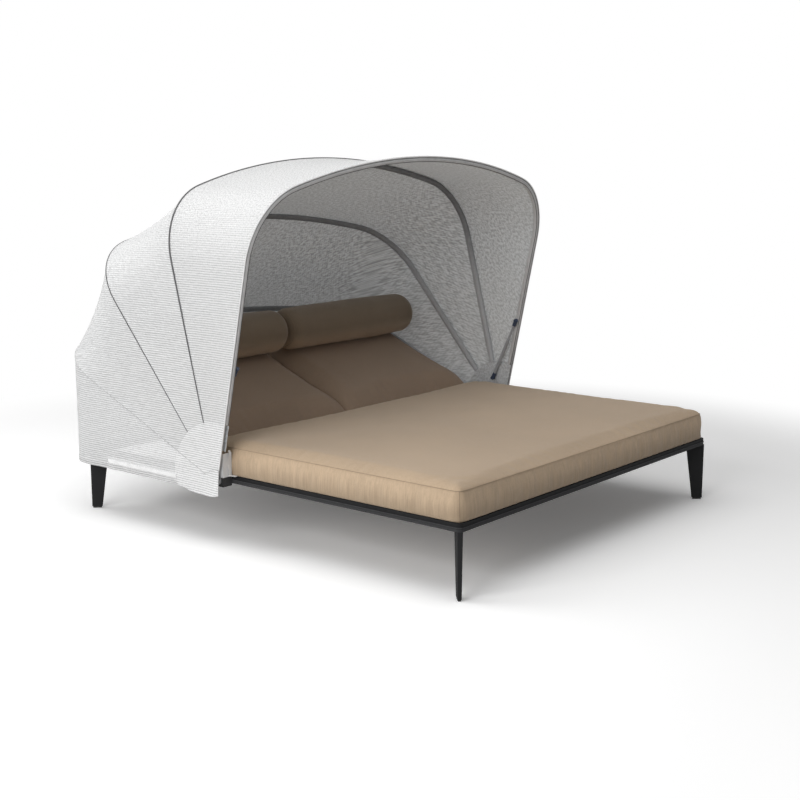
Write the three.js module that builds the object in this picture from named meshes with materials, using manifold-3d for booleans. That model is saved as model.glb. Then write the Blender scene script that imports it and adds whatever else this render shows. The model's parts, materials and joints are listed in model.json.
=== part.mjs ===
import * as THREE from "three";
import { mergeVertices } from "three/addons/utils/BufferGeometryUtils.js";
import Module from "manifold-3d";

// Outdoor daybed with a folding bow canopy. Millimetres, +Z up, +Y towards the head end.
// The pieces are laid out from the middle of the bed frame on the floor.
const wasm = await Module();
wasm.setup();

// Driving sizes of the bed frame
const bedWidth = 1820;
const bedLength = 2000;
const railTop = 277;
const railDepth = 30;
const wallThickness = 18;
const ledgeReach = 22;
const seatGap = 0.3;

// Steps on the outer face of the rails
const lipRise = 12.5;
const lipHeight = 3.5;
const topBandInset = 3;
const lowBandInset = 2;
const edgeChamfer = 1.2;

// Corner legs and their glides
const cornerSize = 60;
const cornerRadius = 22;
const cornerChamfer = 22;
const legTopWidth = 78;
const legFootWidth = 44;
const legTopThickness = 20;
const legFootThickness = 15;
const legEdge = 2;
const glideHeight = 6;
const glideInset = 3;

// Slats and the spine below them
const slatCount = 8;
const slatWidth = 60;
const slatThickness = 16;
const slatEdge = 3;
const slatHeadMargin = 18;
const slatFootMargin = 40;
const spineWidth = 40;
const spineDepth = 30;

// Hinge crossbar and the two backrests
const hingeShare = 0.1415;
const hingeDrop = 12.5;
const backrestAngle = THREE.MathUtils.degToRad(22);
const backrestHeadGap = 67;
const backrestInset = 31.85;
const backrestTube = 25;
const crossbarWidth = 30;
const crossbarDepth = 46;
const crossbarClear = 3;
const earThickness = 6;
const earRadius = 12;
const earGap = 2;
const pinRadius = 5;
const pinOverhang = 2;
const backSlatWidth = 50;
const backSlatThickness = 7.5;
const backSlatShares = [0.138, 0.285, 0.577, 0.723, 0.923];

// Backrest stay and the rack that its foot runs on
const stayShare = 0.43;
const stayAxleRadius = 6;
const stayEyeRadius = 11;
const stayEyeLength = 40;
const stayBarWidth = 24;
const stayBarThickness = 8;
const stayFootRadius = 6;
const stayFootLength = 60;
const rackWidth = 30;
const rackDepth = 20;
const rackToothRise = 8.5;
const rackToothCount = 6;
const rackToothPitch = 22;
const rackClear = 0.5;

// Cushions and bolsters
const cushionSetback = 10;
const cushionHeadGap = 21;
const seatCushionThickness = 120;
const seatCrown = 14;
const backCushionThickness = 120;
const backCushionOverhang = 50;
const backCushionStart = 5;
const backCrown = 12;
const cushionPartGap = 4;
const cushionDraw = 9;
const cushionCorner = 34;
const bolsterRadius = 102;
const bolsterInset = 8.85;
const bolsterHeadGap = 123;
const bolsterEdge = 36;
const bolsterCrown = 3;

// Canopy bows, which all turn about one axis
const pivotSetback = 147;
const pivotZ = 262;
const rearLean = THREE.MathUtils.degToRad(66.3);
const bowStep = THREE.MathUtils.degToRad(26);
const bowTubeRadius = 9.5;
const bowCrownShare = 0.629;
const rearBowDrop = 53;
const bowCornerRadius = 290;
const bowTopRadius = 2750;
const bowLegStart = 240;
const strapThickness = 3;
const strapWidth = 16;
const strapInsert = 22;
const strapEyeRadius = 13;
const pivotRadius = 6;
const pivotHeadRadius = 11;
const pivotHeadThickness = 2.7;
const pivotNutRadius = 10;
const pivotNutThickness = 6;
const lockRise = 45;
const lockRadius = 5;

// Bracket that carries the bows on the side rail
const bracketDepth = 46.7;
const bracketWidth = 48;
const bracketTop = 373;
const bracketBottom = 240;
const bracketWall = 3;
const bracketSlope = THREE.MathUtils.degToRad(24);
const bracketLipReach = 9;
const bracketLipThickness = 3.5;
const bracketLipForward = 46;

// Struts that brace the front bow from the second one
const strutUpperReach = 459;
const strutLowerReach = 160;
const lugRadius = 5;
const lugInset = 9.5;
const strutTubeRadius = 7.5;
const strutTubeShare = 0.6287;
const jointThickness = 10;
const jointRadius = 10;
const jointSocketRadius = 9.2;
const jointSocketStart = 8;
const jointSocketLength = 28;
const jointSeat = 12;
const knobRadius = 7;
const knobThickness = 7;
const stripWidth = 11.5;
const stripThickness = 3;
const stripTail = 55;
const stripTravel = 30;
const stripHoleRadius = 2.4;
const stripHoleCount = 5;

// Canopy cloth
const clothThickness = 3;
const clothCap = 50;
const clothSag = 14;
const frontHemReach = 12;
const hemHeight = 220;
const flapHeight = 208;
const flapReach = 330;
const flapRamp = 60;
const flapFlare = 18;
const flapFlareReach = 260;
const skirtFront = 31;
const skirtBackGap = 40;
const skirtCorner = 100;
const wrapSteps = 2;
const wrapSpread = 1.5;

// Places worked out from the driving sizes
const railBottom = railTop - railDepth;
const ledgeTop = railTop - slatThickness - seatGap;
const innerHalfWidth = bedWidth / 2 - wallThickness - ledgeReach;
const innerHalfLength = bedLength / 2 - wallThickness - ledgeReach;
const hingeY = bedLength * hingeShare;
const hingeZ = railTop - hingeDrop;
const pivotY = hingeY - pivotSetback;
const crossbarRear = hingeY - backrestTube / 2 - crossbarClear;
const crossbarFront = crossbarRear - crossbarWidth;
const backCushionWidth = bedWidth / 2 - wallThickness - cushionPartGap / 2 - seatGap;
const backrestCentre = (backCushionWidth + cushionPartGap) / 2;
const backrestWidth = backCushionWidth - 2 * backrestInset;
const backrestLength = bedLength / 2 - hingeY - backrestHeadGap;
const stayReach = backrestLength * stayShare;
const backCushionLength = backrestLength + backCushionOverhang;
const bolsterLength = backCushionWidth - 2 * bolsterInset;
const bolsterReach = backCushionLength - bolsterHeadGap;
const seatCushionWidth = bedWidth - 2 * cushionSetback;
const seatCushionHead = hingeY - cushionHeadGap;
const bracketOuter = bedWidth / 2 + seatGap + bracketDepth;
const strapPitch = strapThickness + seatGap;
const bowHalfWidth = bracketOuter + 2 * strapPitch + seatGap / 2;
const bowCrown = bedLength * bowCrownShare;
const rearBowCrown = bowCrown - rearBowDrop;
const lugFace = bracketOuter - lugInset;
const skirtBack = bedLength / 2 + skirtBackGap;
const clothInner = bowTubeRadius + seatGap;
const clothOuter = clothInner + clothThickness;
const strutAxis = lugFace - seatGap - jointThickness / 2;

const powderCoat = new THREE.MeshStandardMaterial({ color: 0x1d1e20, roughness: 0.5, metalness: 0.3 });
const hiddenCoat = new THREE.MeshStandardMaterial({ color: 0x2a2b2d, roughness: 0.6, metalness: 0.3 });
const bareSteel = new THREE.MeshStandardMaterial({ color: 0x9a9c9e, roughness: 0.35, metalness: 0.9 });
const castAluminium = new THREE.MeshStandardMaterial({ color: 0xb9babb, roughness: 0.45, metalness: 0.6 });
const bowAluminium = new THREE.MeshStandardMaterial({ color: 0x6f7173, roughness: 0.45, metalness: 0.7 });
const strutPaint = new THREE.MeshStandardMaterial({ color: 0x8b8d90, roughness: 0.5, metalness: 0.5 });
const navyPlastic = new THREE.MeshStandardMaterial({ color: 0x1d2b4a, roughness: 0.5, metalness: 0 });
const blackPlastic = new THREE.MeshStandardMaterial({ color: 0x161616, roughness: 0.6, metalness: 0 });
const canopyCloth = new THREE.MeshStandardMaterial({ color: 0xdcdddd, roughness: 0.9, metalness: 0 });
const cushionCloth = new THREE.MeshStandardMaterial({ color: 0xb79f82, roughness: 0.95, metalness: 0 });
const bolsterCloth = new THREE.MeshStandardMaterial({ color: 0xa48d72, roughness: 0.95, metalness: 0 });

// Solids joined and cut
function toSolid(geometry) {
  const bare = geometry.clone();
  bare.deleteAttribute("normal");
  bare.deleteAttribute("uv");
  const merged = mergeVertices(bare);
  const vertProperties = new Float32Array(merged.attributes.position.array);
  const triVerts = new Uint32Array(merged.index.array);
  return new wasm.Manifold(new wasm.Mesh({ numProp: 3, vertProperties, triVerts }));
}

function toGeometry(solid) {
  const mesh = solid.getMesh();
  const geometry = new THREE.BufferGeometry();
  geometry.setAttribute("position", new THREE.BufferAttribute(new Float32Array(mesh.vertProperties), 3));
  geometry.setIndex(new THREE.BufferAttribute(new Uint32Array(mesh.triVerts), 1));
  return geometry;
}

function join(geometries) {
  const solids = geometries.map(toSolid);
  return toGeometry(solids.reduce((whole, piece) => whole.add(piece)));
}

function cut(geometry, tools) {
  return toGeometry(tools.map(toSolid).reduce((whole, tool) => whole.subtract(tool), toSolid(geometry)));
}

// A box between two corners
function block(low, high) {
  const size = new THREE.Vector3().subVectors(high, low);
  const centre = new THREE.Vector3().addVectors(high, low).multiplyScalar(0.5);
  const geometry = new THREE.BoxGeometry(size.x, size.y, size.z);
  return geometry.translate(centre.x, centre.y, centre.z);
}

function corner(x, y, z) {
  return new THREE.Vector3(x, y, z);
}

// A round rod along X between two places, with its axis at y and z
function rodAlongX(radius, xLow, xHigh, y, z, sides) {
  const geometry = new THREE.CylinderGeometry(radius, radius, xHigh - xLow, sides);
  return geometry.rotateZ(Math.PI / 2).translate((xLow + xHigh) / 2, y, z);
}

// A round rod along Z from zLow to zHigh, with its axis at x
function rodAlongZ(radius, x, zLow, zHigh, sides) {
  const geometry = new THREE.CylinderGeometry(radius, radius, zHigh - zLow, sides);
  return geometry.rotateX(Math.PI / 2).translate(x, 0, (zLow + zHigh) / 2);
}

// An outline in (y, z) made into a plate from xLow to xHigh
function plateAcrossX(shape, xLow, xHigh, curveSegments) {
  const geometry = new THREE.ExtrudeGeometry(shape, { depth: xHigh - xLow, bevelEnabled: false, curveSegments });
  return geometry.rotateZ(Math.PI / 2).rotateY(Math.PI / 2).translate(xLow, 0, 0);
}

// An outline in (x, z) drawn out along Y, centred on y = 0
function barAlongY(shape, length) {
  const geometry = new THREE.ExtrudeGeometry(shape, { depth: length, bevelEnabled: false, curveSegments: 2 });
  return geometry.rotateX(Math.PI / 2).translate(0, length / 2, 0);
}

function roundedRectangle(width, height, radius) {
  const x = width / 2;
  const y = height / 2;
  const shape = new THREE.Shape();
  shape.moveTo(x - radius, -y);
  shape.absarc(x - radius, -y + radius, radius, -Math.PI / 2, 0);
  shape.absarc(x - radius, y - radius, radius, 0, Math.PI / 2);
  shape.absarc(-x + radius, y - radius, radius, Math.PI / 2, Math.PI);
  shape.absarc(-x + radius, -y + radius, radius, Math.PI, Math.PI * 1.5);
  return shape;
}

function add(parent, name, geometry, material) {
  const mesh = new THREE.Mesh(geometry, material);
  mesh.name = name;
  parent.add(mesh);
  return mesh;
}

// Rails: an L section with a stepped outer face and an inner ledge for the slats
function railSection(outer) {
  const wall = outer - wallThickness;
  const shape = new THREE.Shape();
  shape.moveTo(wall - ledgeReach, railBottom);
  shape.lineTo(outer - lowBandInset - edgeChamfer, railBottom);
  shape.lineTo(outer - lowBandInset, railBottom + edgeChamfer);
  shape.lineTo(outer - lowBandInset, railBottom + lipRise);
  shape.lineTo(outer, railBottom + lipRise);
  shape.lineTo(outer, railBottom + lipRise + lipHeight);
  shape.lineTo(outer - topBandInset, railBottom + lipRise + lipHeight);
  shape.lineTo(outer - topBandInset, railTop - edgeChamfer);
  shape.lineTo(outer - topBandInset - edgeChamfer, railTop);
  shape.lineTo(wall, railTop);
  shape.lineTo(wall, ledgeTop);
  shape.lineTo(wall - ledgeReach, ledgeTop);
  return shape;
}

function addRails(bed) {
  const sideLength = bedLength - 2 * (cornerSize + seatGap);
  const endLength = bedWidth - 2 * (cornerSize + seatGap);
  const side = barAlongY(railSection(bedWidth / 2), sideLength);
  const end = barAlongY(railSection(bedLength / 2), endLength);
  add(bed, "side_rail_right", side, powderCoat);
  add(bed, "side_rail_left", side, powderCoat).rotation.z = Math.PI;
  add(bed, "head_rail", end, powderCoat).rotation.z = Math.PI / 2;
  add(bed, "foot_rail", end, powderCoat).rotation.z = -Math.PI / 2;
}

// One band of the corner casting, with its outer corner at the origin
function cornerBand(zLow, zHigh, inset) {
  const shape = new THREE.Shape();
  shape.moveTo(-cornerSize + cornerChamfer, -cornerSize);
  shape.lineTo(-inset, -cornerSize);
  shape.absarc(-cornerRadius, -cornerRadius, cornerRadius - inset, 0, Math.PI / 2);
  shape.lineTo(-cornerSize, -inset);
  shape.lineTo(-cornerSize, -cornerSize + cornerChamfer);
  const geometry = new THREE.ExtrudeGeometry(shape, {
    depth: zHigh - zLow,
    bevelEnabled: false,
    curveSegments: 6,
  });
  return geometry.translate(0, 0, zLow);
}

// The blade leg stands along the diagonal with its outer edge upright
function legBlade() {
  const shape = new THREE.Shape();
  const foot = glideHeight + seatGap;
  const height = railBottom + legEdge - foot;
  shape.moveTo(0, 0);
  shape.lineTo(legFootWidth, 0);
  shape.lineTo(legTopWidth, height);
  shape.lineTo(0, height);
  const geometry = new THREE.ExtrudeGeometry(shape, {
    depth: legTopThickness - 2 * legEdge,
    bevelEnabled: true,
    bevelThickness: legEdge,
    bevelSize: legEdge,
    bevelOffset: -legEdge,
    bevelSegments: 2,
  });
  geometry.translate(0, 0, legEdge - legTopThickness / 2);
  const place = geometry.attributes.position;
  for (let i = 0; i < place.count; i++) {
    const share = THREE.MathUtils.lerp(legFootThickness / legTopThickness, 1, place.getY(i) / height);
    place.setZ(i, place.getZ(i) * share);
  }
  const setback = cornerRadius * (1 - Math.SQRT1_2);
  geometry.rotateX(Math.PI / 2).rotateZ(Math.PI * 1.25);
  return geometry.translate(-setback, -setback, foot);
}

function legGeometry() {
  const lipLow = railBottom + lipRise;
  const lipHigh = lipLow + lipHeight;
  return join([
    cornerBand(railBottom, lipLow, lowBandInset),
    cornerBand(lipLow, lipHigh, 0),
    cornerBand(lipHigh, railTop, topBandInset),
    legBlade(),
  ]);
}

function glideGeometry() {
  const length = legFootWidth - 2 * glideInset;
  const width = legFootThickness - glideInset;
  const shape = roundedRectangle(length, width, width / 3);
  const geometry = new THREE.ExtrudeGeometry(shape, { depth: glideHeight, bevelEnabled: false, curveSegments: 3 });
  const setback = cornerRadius * (1 - Math.SQRT1_2);
  geometry.translate(legFootWidth / 2, 0, 0).rotateZ(Math.PI * 1.25);
  return geometry.translate(-setback, -setback, 0);
}

function addLegs(bed) {
  const leg = legGeometry();
  const glide = glideGeometry();
  const places = [
    ["head_right", 1, 1, 0],
    ["head_left", -1, 1, Math.PI / 2],
    ["foot_left", -1, -1, Math.PI],
    ["foot_right", 1, -1, -Math.PI / 2],
  ];
  for (const [name, sideX, sideY, turn] of places) {
    const spot = new THREE.Group();
    spot.position.set((sideX * bedWidth) / 2, (sideY * bedLength) / 2, 0);
    spot.rotation.z = turn;
    bed.add(spot);
    add(spot, `leg_${name}`, leg, powderCoat);
    add(spot, `glide_${name}`, glide, blackPlastic);
  }
}

// Slats lie on the ledges of the side rails and on the spine
function addSeatBase(bed) {
  const slatLength = bedWidth - 2 * (wallThickness + seatGap);
  const slat = barAlongY(roundedRectangle(slatWidth, slatThickness, slatEdge), slatLength).rotateZ(Math.PI / 2);
  const first = -innerHalfLength + slatFootMargin + slatWidth / 2;
  const last = crossbarFront - slatHeadMargin - slatWidth / 2;
  for (let i = 0; i < slatCount; i++) {
    const mesh = add(bed, `seat_slat_${i + 1}`, slat, hiddenCoat);
    mesh.position.y = THREE.MathUtils.lerp(first, last, i / (slatCount - 1));
    mesh.position.z = railTop - slatThickness / 2;
  }
  const spineLow = corner(-spineWidth / 2, -innerHalfLength + seatGap, ledgeTop - spineDepth);
  const spineHigh = corner(spineWidth / 2, crossbarFront - seatGap, ledgeTop);
  add(bed, "seat_spine", block(spineLow, spineHigh), hiddenCoat);
}

// An ear holds one end of a hinge pin behind the crossbar
function hingeEar(xLow, xHigh) {
  const shape = new THREE.Shape();
  shape.moveTo(crossbarRear - crossbarClear, hingeZ - earRadius);
  shape.lineTo(hingeY, hingeZ - earRadius);
  shape.absarc(hingeY, hingeZ, earRadius, -Math.PI / 2, Math.PI / 2);
  shape.lineTo(crossbarRear - crossbarClear, hingeZ + earRadius);
  return plateAcrossX(shape, xLow, xHigh, 6);
}

function addHingeCrossbar(bed) {
  const half = innerHalfWidth - seatGap;
  const bar = block(corner(-half, crossbarFront, railTop - crossbarDepth), corner(half, crossbarRear, railTop));
  const earStart = backrestWidth / 2 + earGap;
  const pieces = [bar];
  const holes = [];
  for (const side of [-1, 1]) {
    const centre = side * backrestCentre;
    for (const end of [-1, 1]) {
      const near = centre + end * earStart;
      const far = centre + end * (earStart + earThickness);
      pieces.push(hingeEar(Math.min(near, far), Math.max(near, far)));
    }
    const reach = earStart + earThickness + pinOverhang;
    const name = side < 0 ? "left" : "right";
    const pin = rodAlongX(pinRadius, centre - reach, centre + reach, hingeY, hingeZ, 16);
    add(bed, `backrest_hinge_pin_${name}`, pin, bareSteel);
    const bore = pinRadius + seatGap;
    holes.push(rodAlongX(bore, centre - reach, centre + reach, hingeY, hingeZ, 16));
  }
  add(bed, "hinge_crossbar", cut(join(pieces), holes), hiddenCoat);
}

// The rack runs from the crossbar to below the head rail, with teeth under the stay's foot
function rackGeometry() {
  const top = railBottom - seatGap;
  const toothTop = hingeZ - stayFootRadius - rackClear;
  const travelEnd = hingeY + 2 * stayReach + stayBarWidth;
  const travelStart = travelEnd - rackToothCount * rackToothPitch;
  const shape = new THREE.Shape();
  shape.moveTo(crossbarRear + seatGap, top - rackDepth);
  shape.lineTo(bedLength / 2 - wallThickness, top - rackDepth);
  shape.lineTo(bedLength / 2 - wallThickness, top);
  shape.lineTo(travelEnd + rackToothRise, top);
  for (let i = 0; i < rackToothCount; i++) {
    const high = travelEnd - i * rackToothPitch;
    shape.lineTo(high, toothTop);
    shape.lineTo(high - rackToothPitch / 4, toothTop);
    shape.lineTo(high - rackToothPitch / 2, toothTop - rackToothRise);
    shape.lineTo(high - (rackToothPitch * 3) / 4, toothTop - rackToothRise);
  }
  shape.lineTo(travelStart, toothTop);
  shape.lineTo(travelStart - rackToothRise, top);
  shape.lineTo(crossbarRear + seatGap, top);
  return plateAcrossX(shape, -rackWidth / 2, rackWidth / 2, 2);
}

function addRacks(bed) {
  const rack = rackGeometry();
  add(bed, "rack_right", rack, hiddenCoat).position.x = backrestCentre;
  add(bed, "rack_left", rack, hiddenCoat).position.x = -backrestCentre;
}

// The backrest frame: +Y up the slope, +Z out of the cushion side, hinge axis at the origin
function backrestFrame() {
  const half = backrestTube / 2;
  const halfWidth = backrestWidth / 2;
  const pieces = [rodAlongX(half, -halfWidth, halfWidth, 0, 0, 20)];
  for (const side of [-1, 1]) {
    const inner = side * (halfWidth - backrestTube);
    const outer = side * halfWidth;
    const low = corner(Math.min(inner, outer), 0, -half);
    pieces.push(block(low, corner(Math.max(inner, outer), backrestLength, half)));
  }
  const endLow = corner(-halfWidth + half, backrestLength - backrestTube, -half);
  pieces.push(block(endLow, corner(halfWidth - half, backrestLength, half)));
  pieces.push(rodAlongX(stayAxleRadius, -halfWidth + half, halfWidth - half, stayReach, 0, 16));
  for (const share of backSlatShares) {
    const y = share * backrestLength;
    const low = corner(-halfWidth + half, y - backSlatWidth / 2, half - backSlatThickness);
    pieces.push(block(low, corner(halfWidth - half, y + backSlatWidth / 2, half)));
  }
  const bore = rodAlongX(pinRadius + seatGap, -halfWidth - earGap, halfWidth + earGap, 0, 0, 16);
  return cut(join(pieces), [bore]);
}

// The stay hangs from the axle: +Y runs from its eye to its foot
function stayGeometry() {
  const half = stayEyeLength / 2;
  const barLow = corner(-stayBarWidth / 2, 0, -stayBarThickness / 2);
  const barHigh = corner(stayBarWidth / 2, stayReach, stayBarThickness / 2);
  const body = join([
    rodAlongX(stayEyeRadius, -half, half, 0, 0, 20),
    block(barLow, barHigh),
    rodAlongX(stayFootRadius, -stayFootLength / 2, stayFootLength / 2, stayReach, 0, 16),
  ]);
  return cut(body, [rodAlongX(stayAxleRadius + seatGap, -stayEyeLength, stayEyeLength, 0, 0, 16)]);
}

// Points round a rectangle with rounded corners, counterclockwise, drawn in by an inset
function cushionOutline(halfX, halfY, radius, inset) {
  const points = [];
  const cornerSteps = 3;
  const sideSteps = 5;
  const insideX = halfX - radius;
  const insideY = halfY - radius;
  const turn = radius - inset;
  const centres = [
    [insideX, insideY],
    [-insideX, insideY],
    [-insideX, -insideY],
    [insideX, -insideY],
  ];
  centres.forEach(([x, y], quarter) => {
    for (let i = 0; i <= cornerSteps; i++) {
      const angle = ((quarter + i / cornerSteps) * Math.PI) / 2;
      points.push(new THREE.Vector2(x + turn * Math.cos(angle), y + turn * Math.sin(angle)));
    }
    const start = points[points.length - 1].clone();
    const next = centres[(quarter + 1) % 4];
    const angle = ((quarter + 1) * Math.PI) / 2;
    const end = new THREE.Vector2(next[0] + turn * Math.cos(angle), next[1] + turn * Math.sin(angle));
    for (let i = 1; i < sideSteps; i++) {
      points.push(start.clone().lerp(end, i / sideSteps));
    }
  });
  return points;
}

// Rings of points closed by a point at each end
function ringSolid(rings, bottom, top) {
  const count = rings[0].length;
  const points = rings.flat().concat([bottom, top]);
  const index = [];
  const bottomIndex = points.length - 2;
  const topIndex = points.length - 1;
  for (let i = 0; i < count; i++) {
    const next = (i + 1) % count;
    index.push(bottomIndex, next, i);
    for (let k = 0; k + 1 < rings.length; k++) {
      const low = k * count;
      const high = low + count;
      index.push(low + i, low + next, high + next, low + i, high + next, high + i);
    }
    const last = (rings.length - 1) * count;
    index.push(last + i, last + next, topIndex);
  }
  const geometry = new THREE.BufferGeometry().setFromPoints(points);
  geometry.setIndex(index);
  return geometry;
}

// The crown's rise at a share of the way in from the seam to the middle
function crownRise(crown, inward) {
  return crown * (1 - (1 - inward) ** 3);
}

// A boxed cushion: seams drawn in at top and bottom, sides that belly out, and a crowned top
function cushionGeometry(width, length, thickness, crown, lean) {
  const halfX = width / 2;
  const halfY = length / 2;
  const sideRings = 6;
  const topRings = 5;
  const rings = [];
  for (let k = 0; k <= sideRings; k++) {
    const rise = k / sideRings;
    const inset = cushionDraw * (1 - Math.sin(Math.PI * rise));
    const outline = cushionOutline(halfX, halfY, cushionCorner, inset);
    rings.push(outline.map((p) => corner(p.x, p.y, thickness * rise)));
  }
  const seam = rings[rings.length - 1];
  for (let k = 1; k < topRings; k++) {
    const inward = (k / topRings) ** 2;
    const rise = thickness + crownRise(crown, inward);
    rings.push(seam.map((p) => corner(p.x * (1 - inward), p.y * (1 - inward), rise)));
  }
  const geometry = ringSolid(rings, corner(0, 0, 0), corner(0, 0, thickness + crown));
  leanLowerEnd(geometry, halfY, lean);
  return geometry.translate(0, halfY, 0);
}

// The end face nearest the hinge leans up the slope, and the lean fades out along the cushion
function leanLowerEnd(geometry, halfY, lean) {
  const place = geometry.attributes.position;
  for (let i = 0; i < place.count; i++) {
    const fade = (halfY - place.getY(i)) / (2 * halfY);
    place.setY(i, place.getY(i) + place.getZ(i) * Math.tan(lean) * fade);
  }
}

function addSeatCushion(bed) {
  const foot = -bedLength / 2 + cushionSetback;
  const length = seatCushionHead - foot;
  const seat = cushionGeometry(seatCushionWidth, length, seatCushionThickness, seatCrown, 0);
  add(bed, "seat_cushion", seat, cushionCloth).position.set(0, foot, railTop + seatGap);
}

// A bolster with a slight belly and rounded ends, lying along X
function bolsterGeometry() {
  const half = bolsterLength / 2;
  const profile = [new THREE.Vector2(0, -half)];
  const edgeSteps = 4;
  const edgeCentre = half - bolsterEdge;
  for (let i = 0; i <= edgeSteps; i++) {
    const angle = ((i / edgeSteps - 1) * Math.PI) / 2;
    const radius = bolsterRadius - bolsterCrown - bolsterEdge + bolsterEdge * Math.cos(angle);
    profile.push(new THREE.Vector2(radius, -edgeCentre + bolsterEdge * Math.sin(angle)));
  }
  profile.push(new THREE.Vector2(bolsterRadius, 0));
  const mirrored = profile.slice(0, -1).reverse();
  mirrored.forEach((p) => profile.push(new THREE.Vector2(p.x, -p.y)));
  return new THREE.LatheGeometry(profile, 24).rotateZ(-Math.PI / 2);
}

function addBackrests(bed) {
  const frame = backrestFrame();
  const cushion = cushionGeometry(backCushionWidth, backCushionLength, backCushionThickness, backCrown, backrestAngle);
  const bolster = bolsterGeometry();
  const stay = stayGeometry();
  const cushionBase = backrestTube / 2 + seatGap;
  const seamReach = backCushionLength / 2 - cushionDraw;
  const inward = 1 - Math.abs(bolsterReach - backCushionStart - backCushionLength / 2) / seamReach;
  const cushionTop = cushionBase + backCushionThickness + crownRise(backCrown, inward);
  const bolsterRise = cushionTop + 2 * seatGap + bolsterRadius;
  for (const side of [-1, 1]) {
    const name = side < 0 ? "left" : "right";
    const backrest = new THREE.Group();
    backrest.position.set(side * backrestCentre, hingeY, hingeZ);
    backrest.rotation.x = backrestAngle;
    bed.add(backrest);
    add(backrest, `backrest_frame_${name}`, frame, hiddenCoat);
    add(backrest, `back_cushion_${name}`, cushion, cushionCloth).position.set(0, backCushionStart, cushionBase);
    add(backrest, `bolster_${name}`, bolster, bolsterCloth).position.set(0, bolsterReach, bolsterRise);
    const swing = add(backrest, `stay_${name}`, stay, bareSteel);
    swing.position.y = stayReach;
    swing.rotation.x = -2 * backrestAngle;
  }
}

// The bow's outline from the right foot of the leg over the crown to the left one. Each station has
// its place across, its distance from the pivot axis and the outward direction there.
function bowStations(crown, offset, start) {
  const across = bowHalfWidth;
  const topCentre = crown - bowTopRadius;
  const cornerX = across - bowCornerRadius;
  const cornerR = topCentre + Math.sqrt((bowTopRadius - bowCornerRadius) ** 2 - cornerX ** 2);
  const topAngle = Math.atan2(cornerR - topCentre, cornerX);
  const cornerSteps = 6;
  const topSteps = 4;
  const stations = [[across + offset, start, 1, 0]];
  const put = (x, r, radius, angle) => {
    const nx = Math.cos(angle);
    const nr = Math.sin(angle);
    stations.push([x + (radius + offset) * nx, r + (radius + offset) * nr, nx, nr]);
  };
  for (let i = 0; i <= cornerSteps; i++) {
    put(cornerX, cornerR, bowCornerRadius, (topAngle * i) / cornerSteps);
  }
  for (let i = 1; i <= topSteps; i++) {
    put(0, topCentre, bowTopRadius, THREE.MathUtils.lerp(topAngle, Math.PI / 2, i / topSteps));
  }
  const mirrored = stations.slice(0, -1).reverse();
  mirrored.forEach(([x, r, nx, nr]) => stations.push([-x, r, -nx, nr]));
  return stations;
}

// A path through the stations, one equal step from each station to the next
class BowPath extends THREE.Curve {
  constructor(points) {
    super();
    this.points = points;
  }

  getPoint(t) {
    const last = this.points.length - 1;
    const spot = THREE.MathUtils.clamp(t, 0, 1) * last;
    const i = Math.min(Math.floor(spot), last - 1);
    return this.points[i].clone().lerp(this.points[i + 1], spot - i);
  }

  getPointAt(u) {
    return this.getPoint(u);
  }

  getTangentAt(u) {
    return this.getTangent(u);
  }
}

function roundSection(radius, sides) {
  const shape = new THREE.Shape();
  for (let i = 0; i < sides; i++) {
    const angle = (i * 2 * Math.PI) / sides;
    const x = radius * Math.cos(angle);
    const y = radius * Math.sin(angle);
    if (i === 0) {
      shape.moveTo(x, y);
    } else {
      shape.lineTo(x, y);
    }
  }
  return shape;
}

function bowTube(crown) {
  const points = bowStations(crown, 0, bowLegStart).map(([x, r]) => corner(x, 0, r));
  const path = new BowPath(points);
  return new THREE.ExtrudeGeometry(roundSection(bowTubeRadius, 10), {
    steps: points.length - 1,
    bevelEnabled: false,
    extrudePath: path,
  });
}

// A flat strap from the pivot eye into the tube's end
function strapShape() {
  const half = strapWidth / 2;
  const meet = Math.asin(half / strapEyeRadius);
  const shape = new THREE.Shape();
  shape.absarc(0, 0, strapEyeRadius, Math.PI / 2 + meet, Math.PI * 2.5 - meet);
  shape.lineTo(half, bowLegStart + strapInsert);
  shape.lineTo(-half, bowLegStart + strapInsert);
  return shape;
}

// Straps are stacked on the pivot pin, level 0 against the bracket
function levelStart(level) {
  return bracketOuter + seatGap + level * strapPitch;
}

// The same piece made on both sides of the bed
function onBothSides(make) {
  return [make(1), make(-1)];
}

function acrossX(side, near, far) {
  return [Math.min(side * near, side * far), Math.max(side * near, side * far)];
}

function bowGeometry(crown, level, extras, cuts) {
  const near = levelStart(level);
  const far = near + strapThickness;
  const straps = onBothSides((side) => plateAcrossX(strapShape(), ...acrossX(side, near, far), 6));
  const body = join([bowTube(crown), ...straps, ...extras]);
  const bores = onBothSides((side) => {
    const [low, high] = acrossX(side, near - strapThickness, far + strapThickness);
    return rodAlongX(pivotRadius + seatGap, low, high, 0, 0, 16);
  });
  return cut(body, bores.concat(cuts));
}

// A lug reaches inwards from a bow to the strut's end
function lugs(reach, from) {
  return onBothSides((side) => {
    const [low, high] = acrossX(side, lugFace, from);
    return rodAlongX(lugRadius, low, high, 0, reach, 12);
  });
}

// The rear bow's end plate is held upright by a peg on the bracket
function lockPlate(side, lean) {
  const radius = lockRadius * 2;
  const shape = new THREE.Shape();
  shape.absarc(0, lockRise, radius, 0, Math.PI);
  shape.absarc(0, 0, strapEyeRadius, Math.PI, 2 * Math.PI);
  const [low, high] = acrossX(side, levelStart(0), levelStart(0) + strapThickness);
  return plateAcrossX(shape, low, high, 6).rotateX(lean);
}

function lockBore(side, lean) {
  const [low, high] = acrossX(side, bracketOuter, levelStart(0) + 2 * strapThickness);
  return rodAlongX(lockRadius + seatGap, low, high, 0, lockRise, 14).rotateX(lean);
}

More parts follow.
